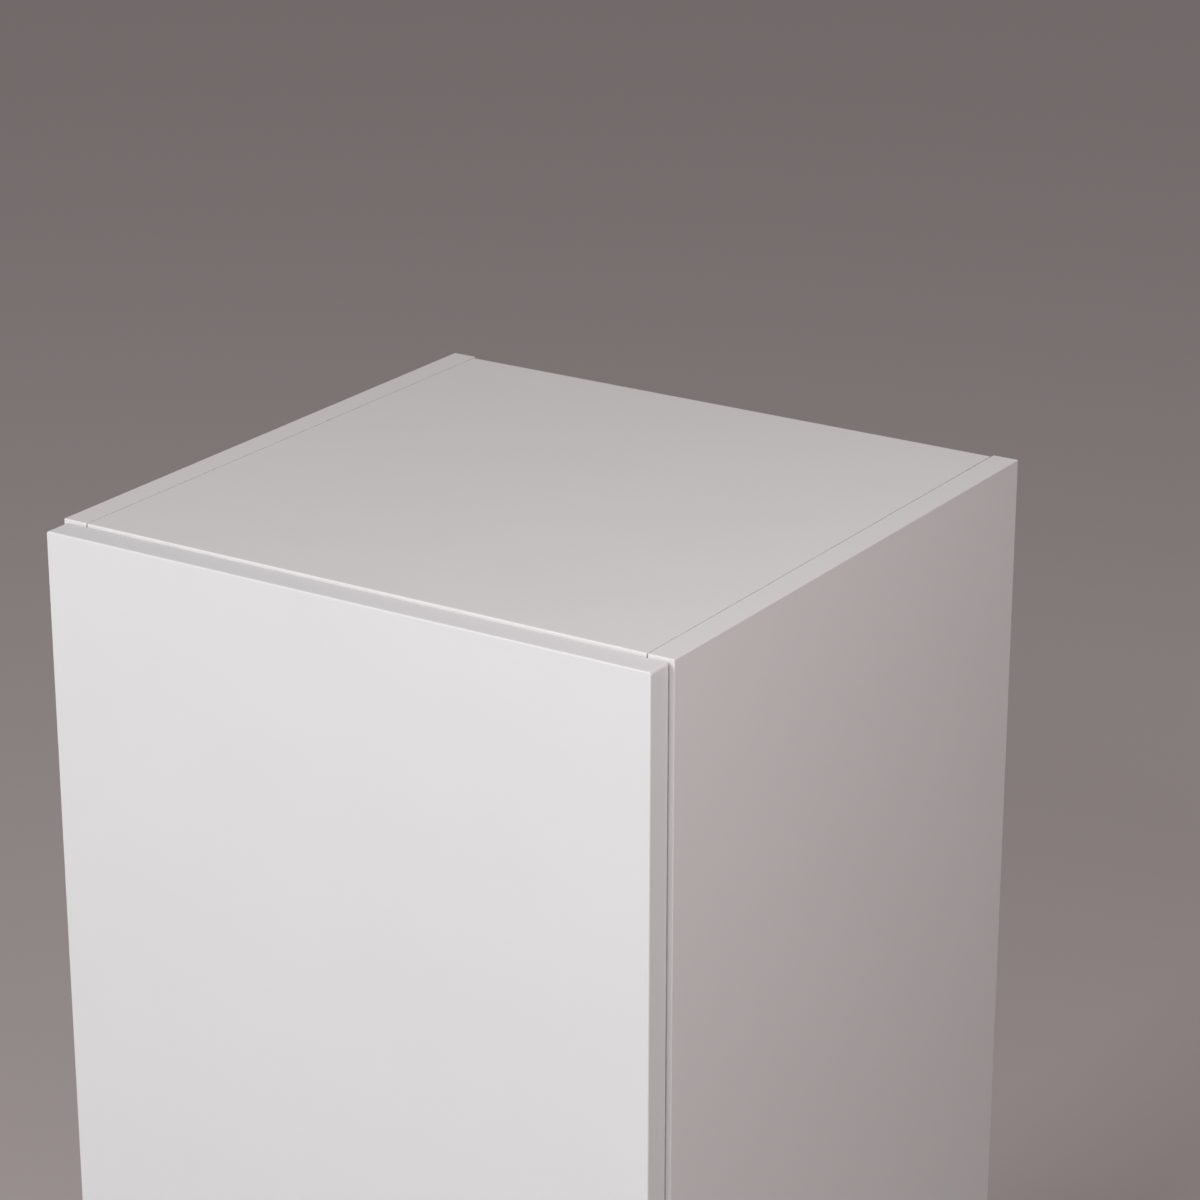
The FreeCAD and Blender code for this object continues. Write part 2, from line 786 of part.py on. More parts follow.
def strike_plate():
    start = latch_axis(door_back_y)
    disc = rod(start, latch_axis(strike_face_y), strike_radius)
    disc = ease_rim(disc, latch_axis(strike_face_y), strike_rim_radius)
    seat = latch_axis(strike_face_y - strike_screw_head_height)
    head_space = rod(seat, latch_axis(strike_face_y), strike_screw_head_radius + fit_clearance)
    hole = rod(start, seat, strike_screw_radius + fit_clearance)
    return disc.cut([head_space, hole])


def strike_screw():
    seat = latch_axis(strike_face_y - strike_screw_head_height)
    head = (strike_screw_head_radius, strike_screw_head_height)
    return screw(seat, -along_y, *head, strike_screw_radius, door_bite)


# Hangers and wall plates
def hanger_body(side):
    # a box that is open towards the wall, with two pegs in the side panel
    bottom = hanger_top_z - hanger_height
    shell = block(
        (side * (inner_half - hanger_width), side * inner_half),
        (hanger_front_y, back_front_y),
        (bottom, hanger_top_z),
    )
    shell = ease_along(shell, along_y, hanger_corner_radius)
    cavity = block(
        (side * (inner_half - hanger_width + hanger_wall), side * (inner_half - hanger_wall)),
        (hanger_front_y + hanger_wall, back_front_y + overrun),
        (bottom + hanger_wall, hanger_top_z - hanger_wall),
    )
    pegs = []
    for z in around(hanger_top_z - hanger_height / 2, peg_spacing / 2):
        start = V(side * inner_half, hanger_middle_y, z)
        end = V(side * (inner_half + side_bite), hanger_middle_y, z)
        pegs.append(rod(start, end, peg_radius))
    holes = []
    for z in hanger_screw_heights.values():
        start = V(side * hook_x, hanger_front_y - overrun, z)
        end = V(side * hook_x, hanger_front_y + hanger_wall + overrun, z)
        holes.append(rod(start, end, hanger_screw_radius + hanger_hole_clearance))
    return join([shell.cut(cavity)] + pegs).cut(holes)


def hanger_hook(side):
    # a tail that the screws hold, an arm out through the back panel, a nose behind the plate's lip
    x_span = around(side * hook_x, hook_width / 2)
    nose_back_y = hook_nose_thickness - lip_offset
    arm = block(x_span, (hook_tail_y, nose_back_y), (lip_top_z, hook_top_z))
    nose = block(x_span, (-lip_offset, nose_back_y), (hook_nose_z, hook_top_z))
    tail_y_span = (hook_tail_y, hook_tail_y + hook_tail_thickness)
    tail = block(x_span, tail_y_span, (hook_tail_z, hook_top_z))
    holes = []
    for z in hanger_screw_heights.values():
        start = V(side * hook_x, hook_tail_y - overrun, z)
        end = V(side * hook_x, hook_tail_y + hook_tail_thickness + overrun, z)
        holes.append(rod(start, end, hanger_screw_radius + fit_clearance))
    return join([arm, nose, tail]).cut(holes)


def hanger_screw(side, z):
    seat = V(side * hook_x, hanger_front_y, z)
    head = (hanger_screw_head_radius, hanger_screw_head_height)
    length = hanger_wall + hook_tail_gap + hook_tail_thickness
    return screw(seat, along_y, *head, hanger_screw_radius, length)


def hanger_cover(side):
    # a cap over the front of the hanger, open towards the side panel and the wall
    back_y = hanger_front_y + cover_overlap
    inside_front_y = hanger_front_y - cover_front_space
    inside_x = inner_half - hanger_width - cover_clearance
    inside_top = hanger_top_z + cover_clearance
    inside_bottom = hanger_top_z - hanger_height - cover_clearance
    trim = cover_edge_radius + overrun
    outer_x = side * (inside_x - cover_wall)
    front_span = (inside_front_y - cover_wall, back_y)
    z_span = (inside_bottom - cover_wall, inside_top + cover_wall)
    # rounded all over a little too long, then trimmed where it meets the side panel and where it ends
    rounded = block((outer_x, side * (inner_half + trim)), (front_span[0], back_y + trim), z_span)
    rounded = ease(rounded, cover_edge_radius)
    inner = block(
        (side * inside_x, side * (inner_half + overrun)),
        (inside_front_y, back_y + overrun),
        (inside_bottom, inside_top),
    )
    return rounded.common(block((outer_x, side * inner_half), front_span, z_span)).cut(inner)


def wall_plate(side):
    # a stepped plate: flat on the wall with two screw holes, and a lip that stands clear of the wall
    x_span = around(side * wall_plate_x, wall_plate_width / 2)
    low_z = -wall_hole_spacing / 2 - wall_plate_margin
    step_z = lip_top_z - lip_height
    flat = block(x_span, (-wall_plate_thickness, 0), (low_z, step_z))
    lip_front_y = -lip_offset - wall_plate_thickness
    step = block(x_span, (lip_front_y, 0), (step_z - wall_plate_thickness, step_z))
    lip = block(x_span, (lip_front_y, -lip_offset), (step_z - wall_plate_thickness, lip_top_z))
    holes = []
    for z in around(0, wall_hole_spacing / 2):
        start = V(side * wall_plate_x, lip_front_y, z)
        holes.append(rod(start, V(side * wall_plate_x, overrun, z), wall_hole_radius))
    plate = join([flat, step, lip])

    def is_corner(edge):
        at_end = not low_z + overrun < edge.CenterOfMass.z < lip_top_z - overrun
        return at_end and runs_along(edge, along_y)

    corners = [edge for edge in plate.Edges if is_corner(edge)]
    return plate.makeFillet(wall_plate_corner_radius, corners).cut(holes)


def build():
    os.makedirs("parts", exist_ok=True)
    for name, side in sides.items():
        save(f"side_panel_{name}", [side_panel(side)])
        save(f"hanger_body_{name}", [hanger_body(side)])
        save(f"hanger_hook_{name}", [hanger_hook(side)])
        save(f"hanger_cover_{name}", [hanger_cover(side)])
        save(f"wall_plate_{name}", [wall_plate(side)])
    for name, z in hanger_screw_heights.items():
        save(f"hanger_{name}_screws", [hanger_screw(side, z) for side in sides.values()])
    for name, (face_z, outward) in panel_levels.items():
        save(f"{name}_panel", [cross_panel(face_z, outward)])
    save("back_panel", [back_panel()])

    joints = list(corner_joints())
    save("cam_locks", [cam_lock(*joint[:5]) for joint in joints])
    save("cam_covers", [cam_cover(side, face, out, y) for side, face, out, _, y, _ in joints])
    save("cam_bolts", [cam_bolt(side, middle, y) for side, _, _, middle, y, _ in joints])
    save("dowels", [dowel(side, middle, y) for side, _, _, middle, _, y in joints])

    pins = []
    for name, seat_z in shelf_seats.items():
        save(f"shelf_{name}", [shelf(seat_z)])
        pins += [shelf_pin(side, row_y, seat_z) for side in sides.values() for row_y in pin_rows]
    save("shelf_pins", pins)

    save("door_panel", [door_panel()])
    bumper_heights = (door_bottom_z + bumper_end_distance, door_top_z - bumper_end_distance)
    save("door_bumpers", [door_bumper(z) for z in bumper_heights])
    for name, hinge_z in hinge_heights.items():
        save(f"hinge_cup_{name}", [hinge_cup(hinge_z)])
        save(f"hinge_pin_{name}", [hinge_pin(hinge_z)])
        save(f"hinge_arm_{name}", [hinge_arm(hinge_z)])
        save(f"hinge_plate_{name}", [hinge_plate(hinge_z)])
    heights = hinge_heights.values()
    save("hinge_plate_screws", [plate_screw(z, end) for z in heights for end in sides.values()])
    save("hinge_clamp_screws", [clamp_screw(z) for z in heights])
    save("hinge_adjusting_screws", [adjusting_screw(z) for z in heights])
    save("hinge_cup_screws", [cup_screw(place) for z in heights for place in cup_screw_places(z)])

    save("latch_body", [latch_body()])
    save("latch_plunger", [latch_plunger()])
    save("latch_magnet", [latch_magnet()])
    save("latch_spring", [latch_spring()])
    save("latch_end_cap", [latch_end_cap()])
    save("latch_screws", [latch_screw(z) for z in around(door_middle_z, latch_screw_reach)])
    save("strike_plate", [strike_plate()])
    save("strike_screw", [strike_screw()])


build()
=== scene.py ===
# Dresses a handleless wall cabinet: faced boards, plated fittings, small repeated pieces, stage and camera.
# Everything is in metres in the cabinet's own frame: X to the right, Y into the wall, Z up.

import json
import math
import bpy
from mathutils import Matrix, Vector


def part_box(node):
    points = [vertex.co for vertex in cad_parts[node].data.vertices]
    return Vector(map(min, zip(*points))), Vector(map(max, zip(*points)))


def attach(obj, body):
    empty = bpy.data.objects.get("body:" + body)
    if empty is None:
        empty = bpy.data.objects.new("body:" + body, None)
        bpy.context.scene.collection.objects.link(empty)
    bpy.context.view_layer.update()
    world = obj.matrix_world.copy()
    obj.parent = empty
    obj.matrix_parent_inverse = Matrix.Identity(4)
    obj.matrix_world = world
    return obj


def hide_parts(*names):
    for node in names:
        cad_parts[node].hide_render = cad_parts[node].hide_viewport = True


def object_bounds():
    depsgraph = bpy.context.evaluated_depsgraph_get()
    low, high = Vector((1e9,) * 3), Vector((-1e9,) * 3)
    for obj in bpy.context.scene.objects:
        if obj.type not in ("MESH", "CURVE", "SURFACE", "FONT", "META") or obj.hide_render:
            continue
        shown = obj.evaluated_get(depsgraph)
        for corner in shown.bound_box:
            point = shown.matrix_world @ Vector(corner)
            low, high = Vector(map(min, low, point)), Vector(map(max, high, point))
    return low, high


bl_info = {
    "name": "Wall cabinet dressing",
    "version": (1, 0, 0),
    "blender": (4, 5, 0),
    "location": "3D View > Sidebar > Cabinet",
    "description": "Finishes, small fittings and a plain stage for a handleless wall cabinet",
    "category": "Object",
}

import bmesh
import bpy
from bpy.props import FloatProperty, FloatVectorProperty, PointerProperty
from mathutils import Matrix, Vector

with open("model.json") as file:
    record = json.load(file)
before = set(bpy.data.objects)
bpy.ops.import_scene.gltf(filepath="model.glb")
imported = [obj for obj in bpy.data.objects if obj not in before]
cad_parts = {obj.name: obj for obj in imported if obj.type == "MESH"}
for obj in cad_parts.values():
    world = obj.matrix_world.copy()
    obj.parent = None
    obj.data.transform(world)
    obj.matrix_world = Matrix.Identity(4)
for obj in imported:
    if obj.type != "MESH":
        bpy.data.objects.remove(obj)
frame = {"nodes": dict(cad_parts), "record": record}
cad_low, cad_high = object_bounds()

MILLIMETRE = 0.001
PICTURE_PIXELS = 1200
SENSOR_WIDTH = 36.0
LAMPS = ("key", "front", "fill", "top")
LAMP_PARTS = ("place", "size", "power", "tint")


# Each of these makes one kind of setting, with its name, its description and its first value.
def colour(name, description, default):
    return FloatVectorProperty(
        name=name, description=description, default=default, subtype="COLOR", size=3, min=0.0, max=1.0
    )


def length(name, description, default):
    return FloatProperty(
        name=name, description=description, default=default, unit="LENGTH", min=0.0, precision=5
    )


def share(name, description, default):
    return FloatProperty(
        name=name, description=description, default=default, subtype="FACTOR", min=0.0, max=1.0
    )


def power(name, description, default):
    return FloatProperty(name=name, description=description, default=default, unit="POWER", min=0.0)


def strength(name, description, default):
    return FloatProperty(name=name, description=description, default=default, min=0.0)


def place(name, description, default):
    return FloatVectorProperty(
        name=name, description=description, default=default, subtype="XYZ", unit="LENGTH", size=3
    )


def turn(name, description, default):
    return FloatProperty(name=name, description=description, default=math.radians(default), subtype="ANGLE")


def screw_size(name, head_height, shank_radius):
    return FloatVectorProperty(
        name=name,
        description="Head height and shank radius",
        default=(head_height * MILLIMETRE, shank_radius * MILLIMETRE),
        unit="LENGTH",
        size=2,
        precision=5,
    )


class BoardFinish(bpy.types.PropertyGroup):
    """Looks of the faced boards, the door and the back"""

    white: colour("White face", "Face of the cabinet's boards", (0.80, 0.787, 0.788))
    door_white: colour("Door face", "Face of the door", (0.81, 0.808, 0.822))
    core_light: colour("Core, light chips", "Light chips in the boards' raw core", (0.56, 0.41, 0.25))
    core_dark: colour("Core, dark chips", "Dark chips in the boards' raw core", (0.27, 0.17, 0.09))
    fibre: colour("Back, raw side", "Raw side of the fibreboard back", (0.24, 0.135, 0.07))
    cloud_size: length("Cloud size", "Size of the faint clouds in the white face", 0.07)
    grain_size: length("Grain size", "Size of the fine grain pressed into the face", 0.0011)
    chip_size: length("Chip size", "Size of the chips in the raw core", 0.0026)
    face_skin: length("Face skin", "How deep the white face goes round the raw core", 0.0009)
    roughness: share("Roughness", "Roughness of the white faces", 0.52)
    gloss: share("Gloss", "Specular level of the white faces", 0.3)


class FittingFinish(bpy.types.PropertyGroup):
    """Looks of the metal and plastic fittings"""

    nickel: colour("Nickel plate", "Plated steel of hinges, hooks and plates", (0.66, 0.65, 0.63))
    zinc: colour("Zinc plate", "Plated screws, bolts and spring", (0.55, 0.56, 0.58))
    cast: colour("Cast zinc", "Die-cast hinge plates, cams and hangers", (0.48, 0.485, 0.50))
    white_plastic: colour("White plastic", "Caps and covers", (0.78, 0.775, 0.77))
    grey_plastic: colour("Grey plastic", "Latch body and plunger", (0.42, 0.425, 0.43))
    magnet: colour("Magnet", "Magnet in the plunger's tip", (0.16, 0.16, 0.17))
    beech: colour("Beech", "Wooden dowels", (0.55, 0.36, 0.19))
    rubber: colour("Bumper", "Clear bumpers on the door", (0.86, 0.87, 0.87))
    streak_size: length("Streak size", "Width of the rolling streaks in plated steel", 0.0004)
    cast_grain: length("Casting grain", "Size of the grain of cast zinc", 0.0005)
    mould_grain: length("Moulding grain", "Size of the spark grain on plastic", 0.0004)


class SmallPieceSizes(bpy.types.PropertyGroup):
    """Sizes of the small repeated pieces that the solids' boxes do not give"""

    plate_screw: screw_size("Hinge plate screws", 2.2, 3.1)
    clamp_screw: screw_size("Hinge clamp screws", 2.4, 2.0)
    adjusting_screw: screw_size("Hinge adjusting screws", 1.6, 2.0)
    cup_screw: screw_size("Hinge cup screws", 1.4, 1.75)
    latch_screw: screw_size("Latch screws", 2.0, 1.75)
    strike_screw: screw_size("Strike screw", 0.8, 1.5)
    hanger_screw: screw_size("Hanger screws", 3.0, 3.0)
    thread_pitch: length("Thread pitch", "Rise of the screw threads in one turn", 0.0013)
    thread_depth: length("Thread depth", "Depth of the screw threads", 0.00045)
    cover_thickness: length("Cam cover", "Thickness of the cam covers", 0.0012)
    cover_stem: length("Cam cover stem", "Radius of the stem that holds a cam cover", 0.002)
    flute_depth: length("Flutes", "Depth of the flutes along a dowel", 0.0003)
    dowel_chamfer: length("Dowel ends", "Chamfer on the ends of a dowel", 0.001)
    bolt_thread: length("Cam bolt thread", "Length of a cam bolt's thread", 0.011)
    bolt_head: length("Cam bolt head", "Length of a cam bolt's head", 0.004)
    bolt_neck: length("Cam bolt neck", "Length of a cam bolt's neck", 0.005)
    spring_wire: length("Spring wire", "Thickness of the latch spring's wire", 0.0009)
    spring_pitch: length("Spring pitch", "Distance between the spring's turns", 0.0028)


class StageSizes(bpy.types.PropertyGroup):
    """Floor, lamps and camera"""

    floor: colour("Floor", "Plain pale floor", (0.46, 0.42, 0.413))
    haze: colour("Floor lift", "Light that is seen on the floor but lights nothing", (0.085, 0.0715, 0.071))
    horizon: colour("Horizon", "Background above the floor's edge", (0.148, 0.1275, 0.1255))
    sky: colour("Even light", "Light from all round", (0.06, 0.0585, 0.058))
    back_light: strength("Back light", "How much more light comes from behind than from all round", 6.0)
    floor_half_width: length("Floor half width", "Half the floor's width", 30.0)
    key_place: place("Key lamp", "Place of the large lamp in front on the left", (-1.1, -3.2, 1.2))
    key_size: length("Key size", "Width of the key lamp", 1.0)
    key_power: power("Key power", "Power of the key lamp", 57.5)
    key_tint: colour("Key tint", "Colour of the key lamp", (1.0, 1.0, 1.0))
    front_place: place("Front lamp", "Place of the lamp high in front", (0.6, -2.6, 1.5))
    front_size: length("Front size", "Width of the front lamp", 0.35)
    front_power: power("Front power", "Power of the front lamp", 20.5)
    front_tint: colour("Front tint", "Colour of the front lamp", (1.0, 1.0, 1.0))
    fill_place: place("Fill lamp", "Place of the lamp that fills the right side", (1.1, -0.65, 0.58))
    fill_size: length("Fill size", "Width of the fill lamp", 0.7)
    fill_power: power("Fill power", "Power of the fill lamp", 6.2)
    fill_tint: colour("Fill tint", "Colour of the fill lamp", (1.0, 0.915, 0.905))
    top_place: place("Top lamp", "Place of the lamp high over the top", (0.05, 0.3, 1.9))
    top_size: length("Top size", "Width of the top lamp", 0.5)
    top_power: power("Top power", "Power of the top lamp", 4.9)
    top_tint: colour("Top tint", "Colour of the top lamp", (1.0, 0.95, 0.95))
    eye: place("Camera", "Place of the camera", (1.1265, -1.8920, 0.7529))
    yaw: turn("Yaw", "How far the camera is turned to the left", 32.741)
    pitch: turn("Pitch", "How far the camera looks down", 20.440)
    roll: turn("Roll", "How far the camera is tipped", 0.024)
    focal_pixels: FloatProperty(
        name="Focal length", description="Focal length in pixels of the picture", default=3775.9, min=1.0
    )


class Graph:
    """A node tree in the making: each call adds nodes and joins their sockets"""

    def __init__(self, tree):
        self.tree = tree
        self.tree.nodes.clear()

    def add(self, kind, settings=None, **inputs):
        node = self.tree.nodes.new(kind)
        for name, value in (settings or {}).items():
            setattr(node, name, value)
        for name, value in inputs.items():
            self.feed(node.inputs[name.replace("_", " ")], value)
        return node

    def feed(self, socket, value):
        if isinstance(value, bpy.types.NodeSocket):
            self.tree.links.new(value, socket)
        else:
            socket.default_value = value

    def math(self, operation, *values):
        node = self.add("ShaderNodeMath", {"operation": operation})
        for socket, value in zip(node.inputs, values):
            self.feed(socket, value)
        return node.outputs[0]

    def seen(self):
        """1 for what is looked at straight or in a reflection, 0 for what only gives light"""
        path = self.add("ShaderNodeLightPath").outputs
        mirrored = self.math("MAXIMUM", path["Is Glossy Ray"], path["Is Transmission Ray"])
        return self.math("MAXIMUM", path["Is Camera Ray"], mirrored)

    def ramp(self, value, low, high):
        """0 at low, 1 at high, straight between them"""
        node = self.add("ShaderNodeMapRange", Value=value, From_Min=low, From_Max=high)
        return node.outputs["Result"]


class Finish(Graph):
    """One node material in the making, with its shader and the object's own coordinates"""

    def __init__(self, name):
        self.material = bpy.data.materials.new(name)
        self.material.use_nodes = True
        super().__init__(self.material.node_tree)
        self.shader = self.add("ShaderNodeBsdfPrincipled")
        self.add("ShaderNodeOutputMaterial", Surface=self.shader.outputs["BSDF"])
        self.place = self.add("ShaderNodeTexCoord").outputs["Object"]

    def set(self, **inputs):
        for name, value in inputs.items():
            self.feed(self.shader.inputs[name.replace("_", " ")], value)

    def span(self, value, low, high):
        node = self.add("ShaderNodeMapRange", Value=value, To_Min=low, To_Max=high)
        return node.outputs["Result"]

    def blend(self, factor, first, second):
        """A colour between two others"""
        node = self.add("ShaderNodeMix", {"data_type": "RGBA"})
        sockets = {socket.identifier: socket for socket in (*node.inputs, *node.outputs)}
        self.feed(sockets["Factor_Float"], factor)
        self.feed(sockets["A_Color"], first)
        self.feed(sockets["B_Color"], second)
        return sockets["Result_Color"]

    def stretched(self, stretch):
        return self.add("ShaderNodeMapping", Vector=self.place, Scale=stretch).outputs["Vector"]

    def noise(self, size, detail=2.0, vector=None):
        node = self.add("ShaderNodeTexNoise", Vector=vector or self.place, Scale=1.0 / size, Detail=detail)
        return node.outputs[0]

    def chips(self, size):
        node = self.add("ShaderNodeTexVoronoi", Vector=self.place, Scale=1.0 / size)
        return self.add("ShaderNodeSeparateColor", Color=node.outputs["Color"]).outputs[0]

    def along(self, axis):
        return self.add("ShaderNodeSeparateXYZ", Vector=self.place).outputs[axis]

    def between(self, axis, low, high):
        value = self.along(axis)
        above = self.math("GREATER_THAN", value, low)
        return self.math("MULTIPLY", above, self.math("LESS_THAN", value, high))

    def inside(self, low, high):
        """1 inside a box, 0 outside it"""
        masks = [self.between(axis, low[axis], high[axis]) for axis in range(3)]
        return self.math("MULTIPLY", self.math("MULTIPLY", masks[0], masks[1]), masks[2])

    def bump(self, height, distance):
        node = self.add("ShaderNodeBump", Height=height, Distance=distance)
        self.set(Normal=node.outputs["Normal"])


def opaque(rgb):
    return (*rgb, 1.0)


def shades(rgb, factors):
    """Darker and lighter shades of one colour"""
    return [opaque([value * factor for value in rgb]) for factor in factors]


# Looks of the finishes: sizes and bumps in metres, shades as factors on a finish's own colour.
FACE_CLOUD_SHADES = (0.972, 1.0)
FACE_ROUGHNESS_SPREAD = 0.05
FACE_BUMP = 0.000012
CORE_ROUGHNESS = 0.85
CORE_BUMP = 0.0003
FIBRE_SIZE = 0.0016
FIBRE_STRETCH = (1.0, 1.0, 0.35)
FIBRE_SHADES = (0.62, 1.35)
FIBRE_ADDED_ROUGHNESS = 0.4
SCREEN_SIZE = 0.0013
SCREEN_RISE = 8.0
STREAK_STRETCH = (1.0, 0.06, 1.0)
STREAK_SMOOTHER, STREAK_ROUGHER = 0.04, 0.06
STREAK_BUMP = 0.000002
PLATE_CLOUD_SIZE = 0.012
PLATE_SHADES = (0.9, 1.04)
CAST_CLOUD_SIZE = 0.008
CAST_SHADES = (0.88, 1.05)
CAST_ROUGHNESS = (0.40, 0.56)
CAST_BUMP = 0.00003
MOULD_CLOUD_SIZE = 0.02
MOULD_SHADES = (0.965, 1.0)
MOULD_ROUGHNESS = (0.44, 0.58)
MOULD_BUMP = 0.00002
RUBBER_CLOUD_SIZE = 0.002
RUBBER_SHADES = (0.94, 1.0)
RUBBER_ROUGHNESS = (0.22, 0.34)
RUBBER_CLEARNESS = 0.55
RUBBER_IOR = 1.45
WOOD_GRAIN_SIZE = 0.0012
WOOD_STRETCH = (0.08, 1.0, 1.0)
WOOD_SHADES = (0.7, 1.15)
WOOD_ROUGHNESS = (0.55, 0.7)
WOOD_BUMP = 0.00006


def white_face(finish, settings, white):
    """Colour, roughness and fine grain of a pressed white face with faint clouds"""
    cloud = finish.noise(settings.cloud_size, detail=3.0)
    grain = finish.noise(settings.grain_size)
    face = finish.blend(cloud, *shades(white, FACE_CLOUD_SHADES))
    spread = FACE_ROUGHNESS_SPREAD
    rough = finish.span(grain, settings.roughness - spread, settings.roughness + spread)
    finish.set(Specular_IOR_Level=settings.gloss)
    return face, rough, grain


def faced_board(name, settings, box, raw_back):
    """White faced chipboard; its core shows in bores and grooves, and on a back edge that is left raw"""
    finish = Finish(name)
    face, rough, grain = white_face(finish, settings, settings.white)
    skin = Vector([settings.face_skin] * 3)
    core = finish.inside(box[0] + skin, box[1] - skin)
    if raw_back:
        behind = finish.math("GREATER_THAN", finish.along(1), box[1].y - settings.face_skin / 2)
        core = finish.math("MAXIMUM", core, behind)
    chips = finish.chips(settings.chip_size)
    wood = finish.blend(chips, opaque(settings.core_dark), opaque(settings.core_light))
    finish.set(Base_Color=finish.blend(core, face, wood))
    added_rough = CORE_ROUGHNESS - settings.roughness
    finish.set(Roughness=finish.math("MULTIPLY_ADD", core, added_rough, rough))
    rise = finish.math("MULTIPLY", finish.math("MULTIPLY", core, chips), CORE_BUMP / FACE_BUMP)
    finish.bump(finish.math("ADD", grain, rise), FACE_BUMP)
    return finish.material


def door_face(settings):
    """White door, in a cooler white than the boards"""
    finish = Finish("door_white")
    face, rough, grain = white_face(finish, settings, settings.door_white)
    finish.set(Base_Color=face, Roughness=rough)
    finish.bump(grain, FACE_BUMP)
    return finish.material


def fibre_back(settings, box):
    """Fibreboard back: white towards the room, raw and brown towards the wall"""
    finish = Finish("fibreboard_back")
    face, rough, grain = white_face(finish, settings, settings.white)
    behind = finish.math("GREATER_THAN", finish.along(1), (box[0].y + box[1].y) / 2)
    fibres = finish.noise(FIBRE_SIZE, detail=6.0, vector=finish.stretched(FIBRE_STRETCH))
    raw = finish.blend(fibres, *shades(settings.fibre, FIBRE_SHADES))
    finish.set(Base_Color=finish.blend(behind, face, raw))
    finish.set(Roughness=finish.math("MULTIPLY_ADD", behind, FIBRE_ADDED_ROUGHNESS, rough))
    screen = finish.chips(SCREEN_SIZE)
    pressed = finish.math("MULTIPLY", finish.math("MULTIPLY", screen, behind), SCREEN_RISE)
    finish.bump(finish.math("ADD", grain, pressed), FACE_BUMP)
    return finish.material


def plated(name, rgb, streak_size, roughness):
    """Plated steel with faint rolling streaks and a little clouding"""
    finish = Finish(name)
    streaks = finish.noise(streak_size, detail=4.0, vector=finish.stretched(STREAK_STRETCH))
    cloud = finish.noise(PLATE_CLOUD_SIZE, detail=3.0)
    finish.set(Metallic=1.0, Base_Color=finish.blend(cloud, *shades(rgb, PLATE_SHADES)))
    finish.set(Roughness=finish.span(streaks, roughness - STREAK_SMOOTHER, roughness + STREAK_ROUGHER))
    finish.bump(streaks, STREAK_BUMP)
    return finish.material


def cast_metal(name, rgb, grain_size):
    """Die-cast zinc: dull, with a fine skin"""
    finish = Finish(name)
    grain = finish.noise(grain_size, detail=4.0)
    cloud = finish.noise(CAST_CLOUD_SIZE)
    finish.set(Metallic=1.0, Base_Color=finish.blend(cloud, *shades(rgb, CAST_SHADES)))
    finish.set(Roughness=finish.span(grain, *CAST_ROUGHNESS))
    finish.bump(grain, CAST_BUMP)
    return finish.material


def moulded(name, rgb, grain_size):
    """Moulded plastic with a spark-eroded skin"""
    finish = Finish(name)
    grain = finish.noise(grain_size, detail=3.0)
    cloud = finish.noise(MOULD_CLOUD_SIZE)
    finish.set(Base_Color=finish.blend(cloud, *shades(rgb, MOULD_SHADES)))
    finish.set(Roughness=finish.span(grain, *MOULD_ROUGHNESS))
    finish.bump(grain, MOULD_BUMP)
    return finish.material


def clear_rubber(name, rgb):
    """Soft clear bumper"""
    finish = Finish(name)
    cloud = finish.noise(RUBBER_CLOUD_SIZE)
    finish.set(Base_Color=finish.blend(cloud, *shades(rgb, RUBBER_SHADES)))
    finish.set(Roughness=finish.span(cloud, *RUBBER_ROUGHNESS))
    finish.set(Transmission_Weight=RUBBER_CLEARNESS, IOR=RUBBER_IOR)
    return finish.material


def plain_wood(name, rgb):
    """Beech with its grain along X"""
    finish = Finish(name)
    grain = finish.noise(WOOD_GRAIN_SIZE, detail=5.0, vector=finish.stretched(WOOD_STRETCH))
    finish.set(Base_Color=finish.blend(grain, *shades(rgb, WOOD_SHADES)))
    finish.set(Roughness=finish.span(grain, *WOOD_ROUGHNESS))
    finish.bump(grain, WOOD_BUMP)
    return finish.material


def dress(material, *nodes):
    """Give CAD nodes a finish through their objects' material slots"""
    for node in nodes:
        for slot in frame["nodes"][node].material_slots:
            slot.link = "OBJECT"
            slot.material = material


class CABINET_OT_boards(bpy.types.Operator):
    """White faced boards, the door and the fibreboard back"""

    bl_idname = "cabinet.boards"
    bl_label = "Boards, door and back"

    def execute(self, context):
        settings = context.scene.cabinet_boards
        for node in ("side_panel_left", "side_panel_right", "top_panel", "bottom_panel"):
            dress(faced_board(f"faced_{node}", settings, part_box(node), True), node)
        for node in ("shelf_upper", "shelf_lower"):
            dress(faced_board(f"faced_{node}", settings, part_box(node), False), node)
        dress(door_face(settings), "door_panel")
        dress(fibre_back(settings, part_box("back_panel")), "back_panel")
        return {"FINISHED"}


class CABINET_OT_fittings(bpy.types.Operator):
    """Metal, plastic, rubber and wood of the fittings"""

    bl_idname = "cabinet.fittings"
    bl_label = "Fittings"

    def execute(self, context):
        settings = context.scene.cabinet_fittings
        slots = {part["node"]: part["material_slot"] for part in frame["record"]["subparts"]}
        finishes = {
            "bright_steel": plated("nickel_plate", settings.nickel, settings.streak_size, roughness=0.26),
            "screw_steel": plated("zinc_plate", settings.zinc, settings.streak_size, roughness=0.34),
            "magnet": plated("magnet_plate", settings.magnet, settings.streak_size, roughness=0.4),
            "zinc_alloy": cast_metal("cast_zinc", settings.cast, settings.cast_grain),
            "white_plastic": moulded("white_moulding", settings.white_plastic, settings.mould_grain),
            "grey_plastic": moulded("grey_moulding", settings.grey_plastic, settings.mould_grain),
            "clear_rubber": clear_rubber("clear_bumper", settings.rubber),
            "beech": plain_wood("beech_dowel", settings.beech),
        }
        for node, slot in slots.items():
            if slot in finishes:
                dress(finishes[slot], node)
        return {"FINISHED"}


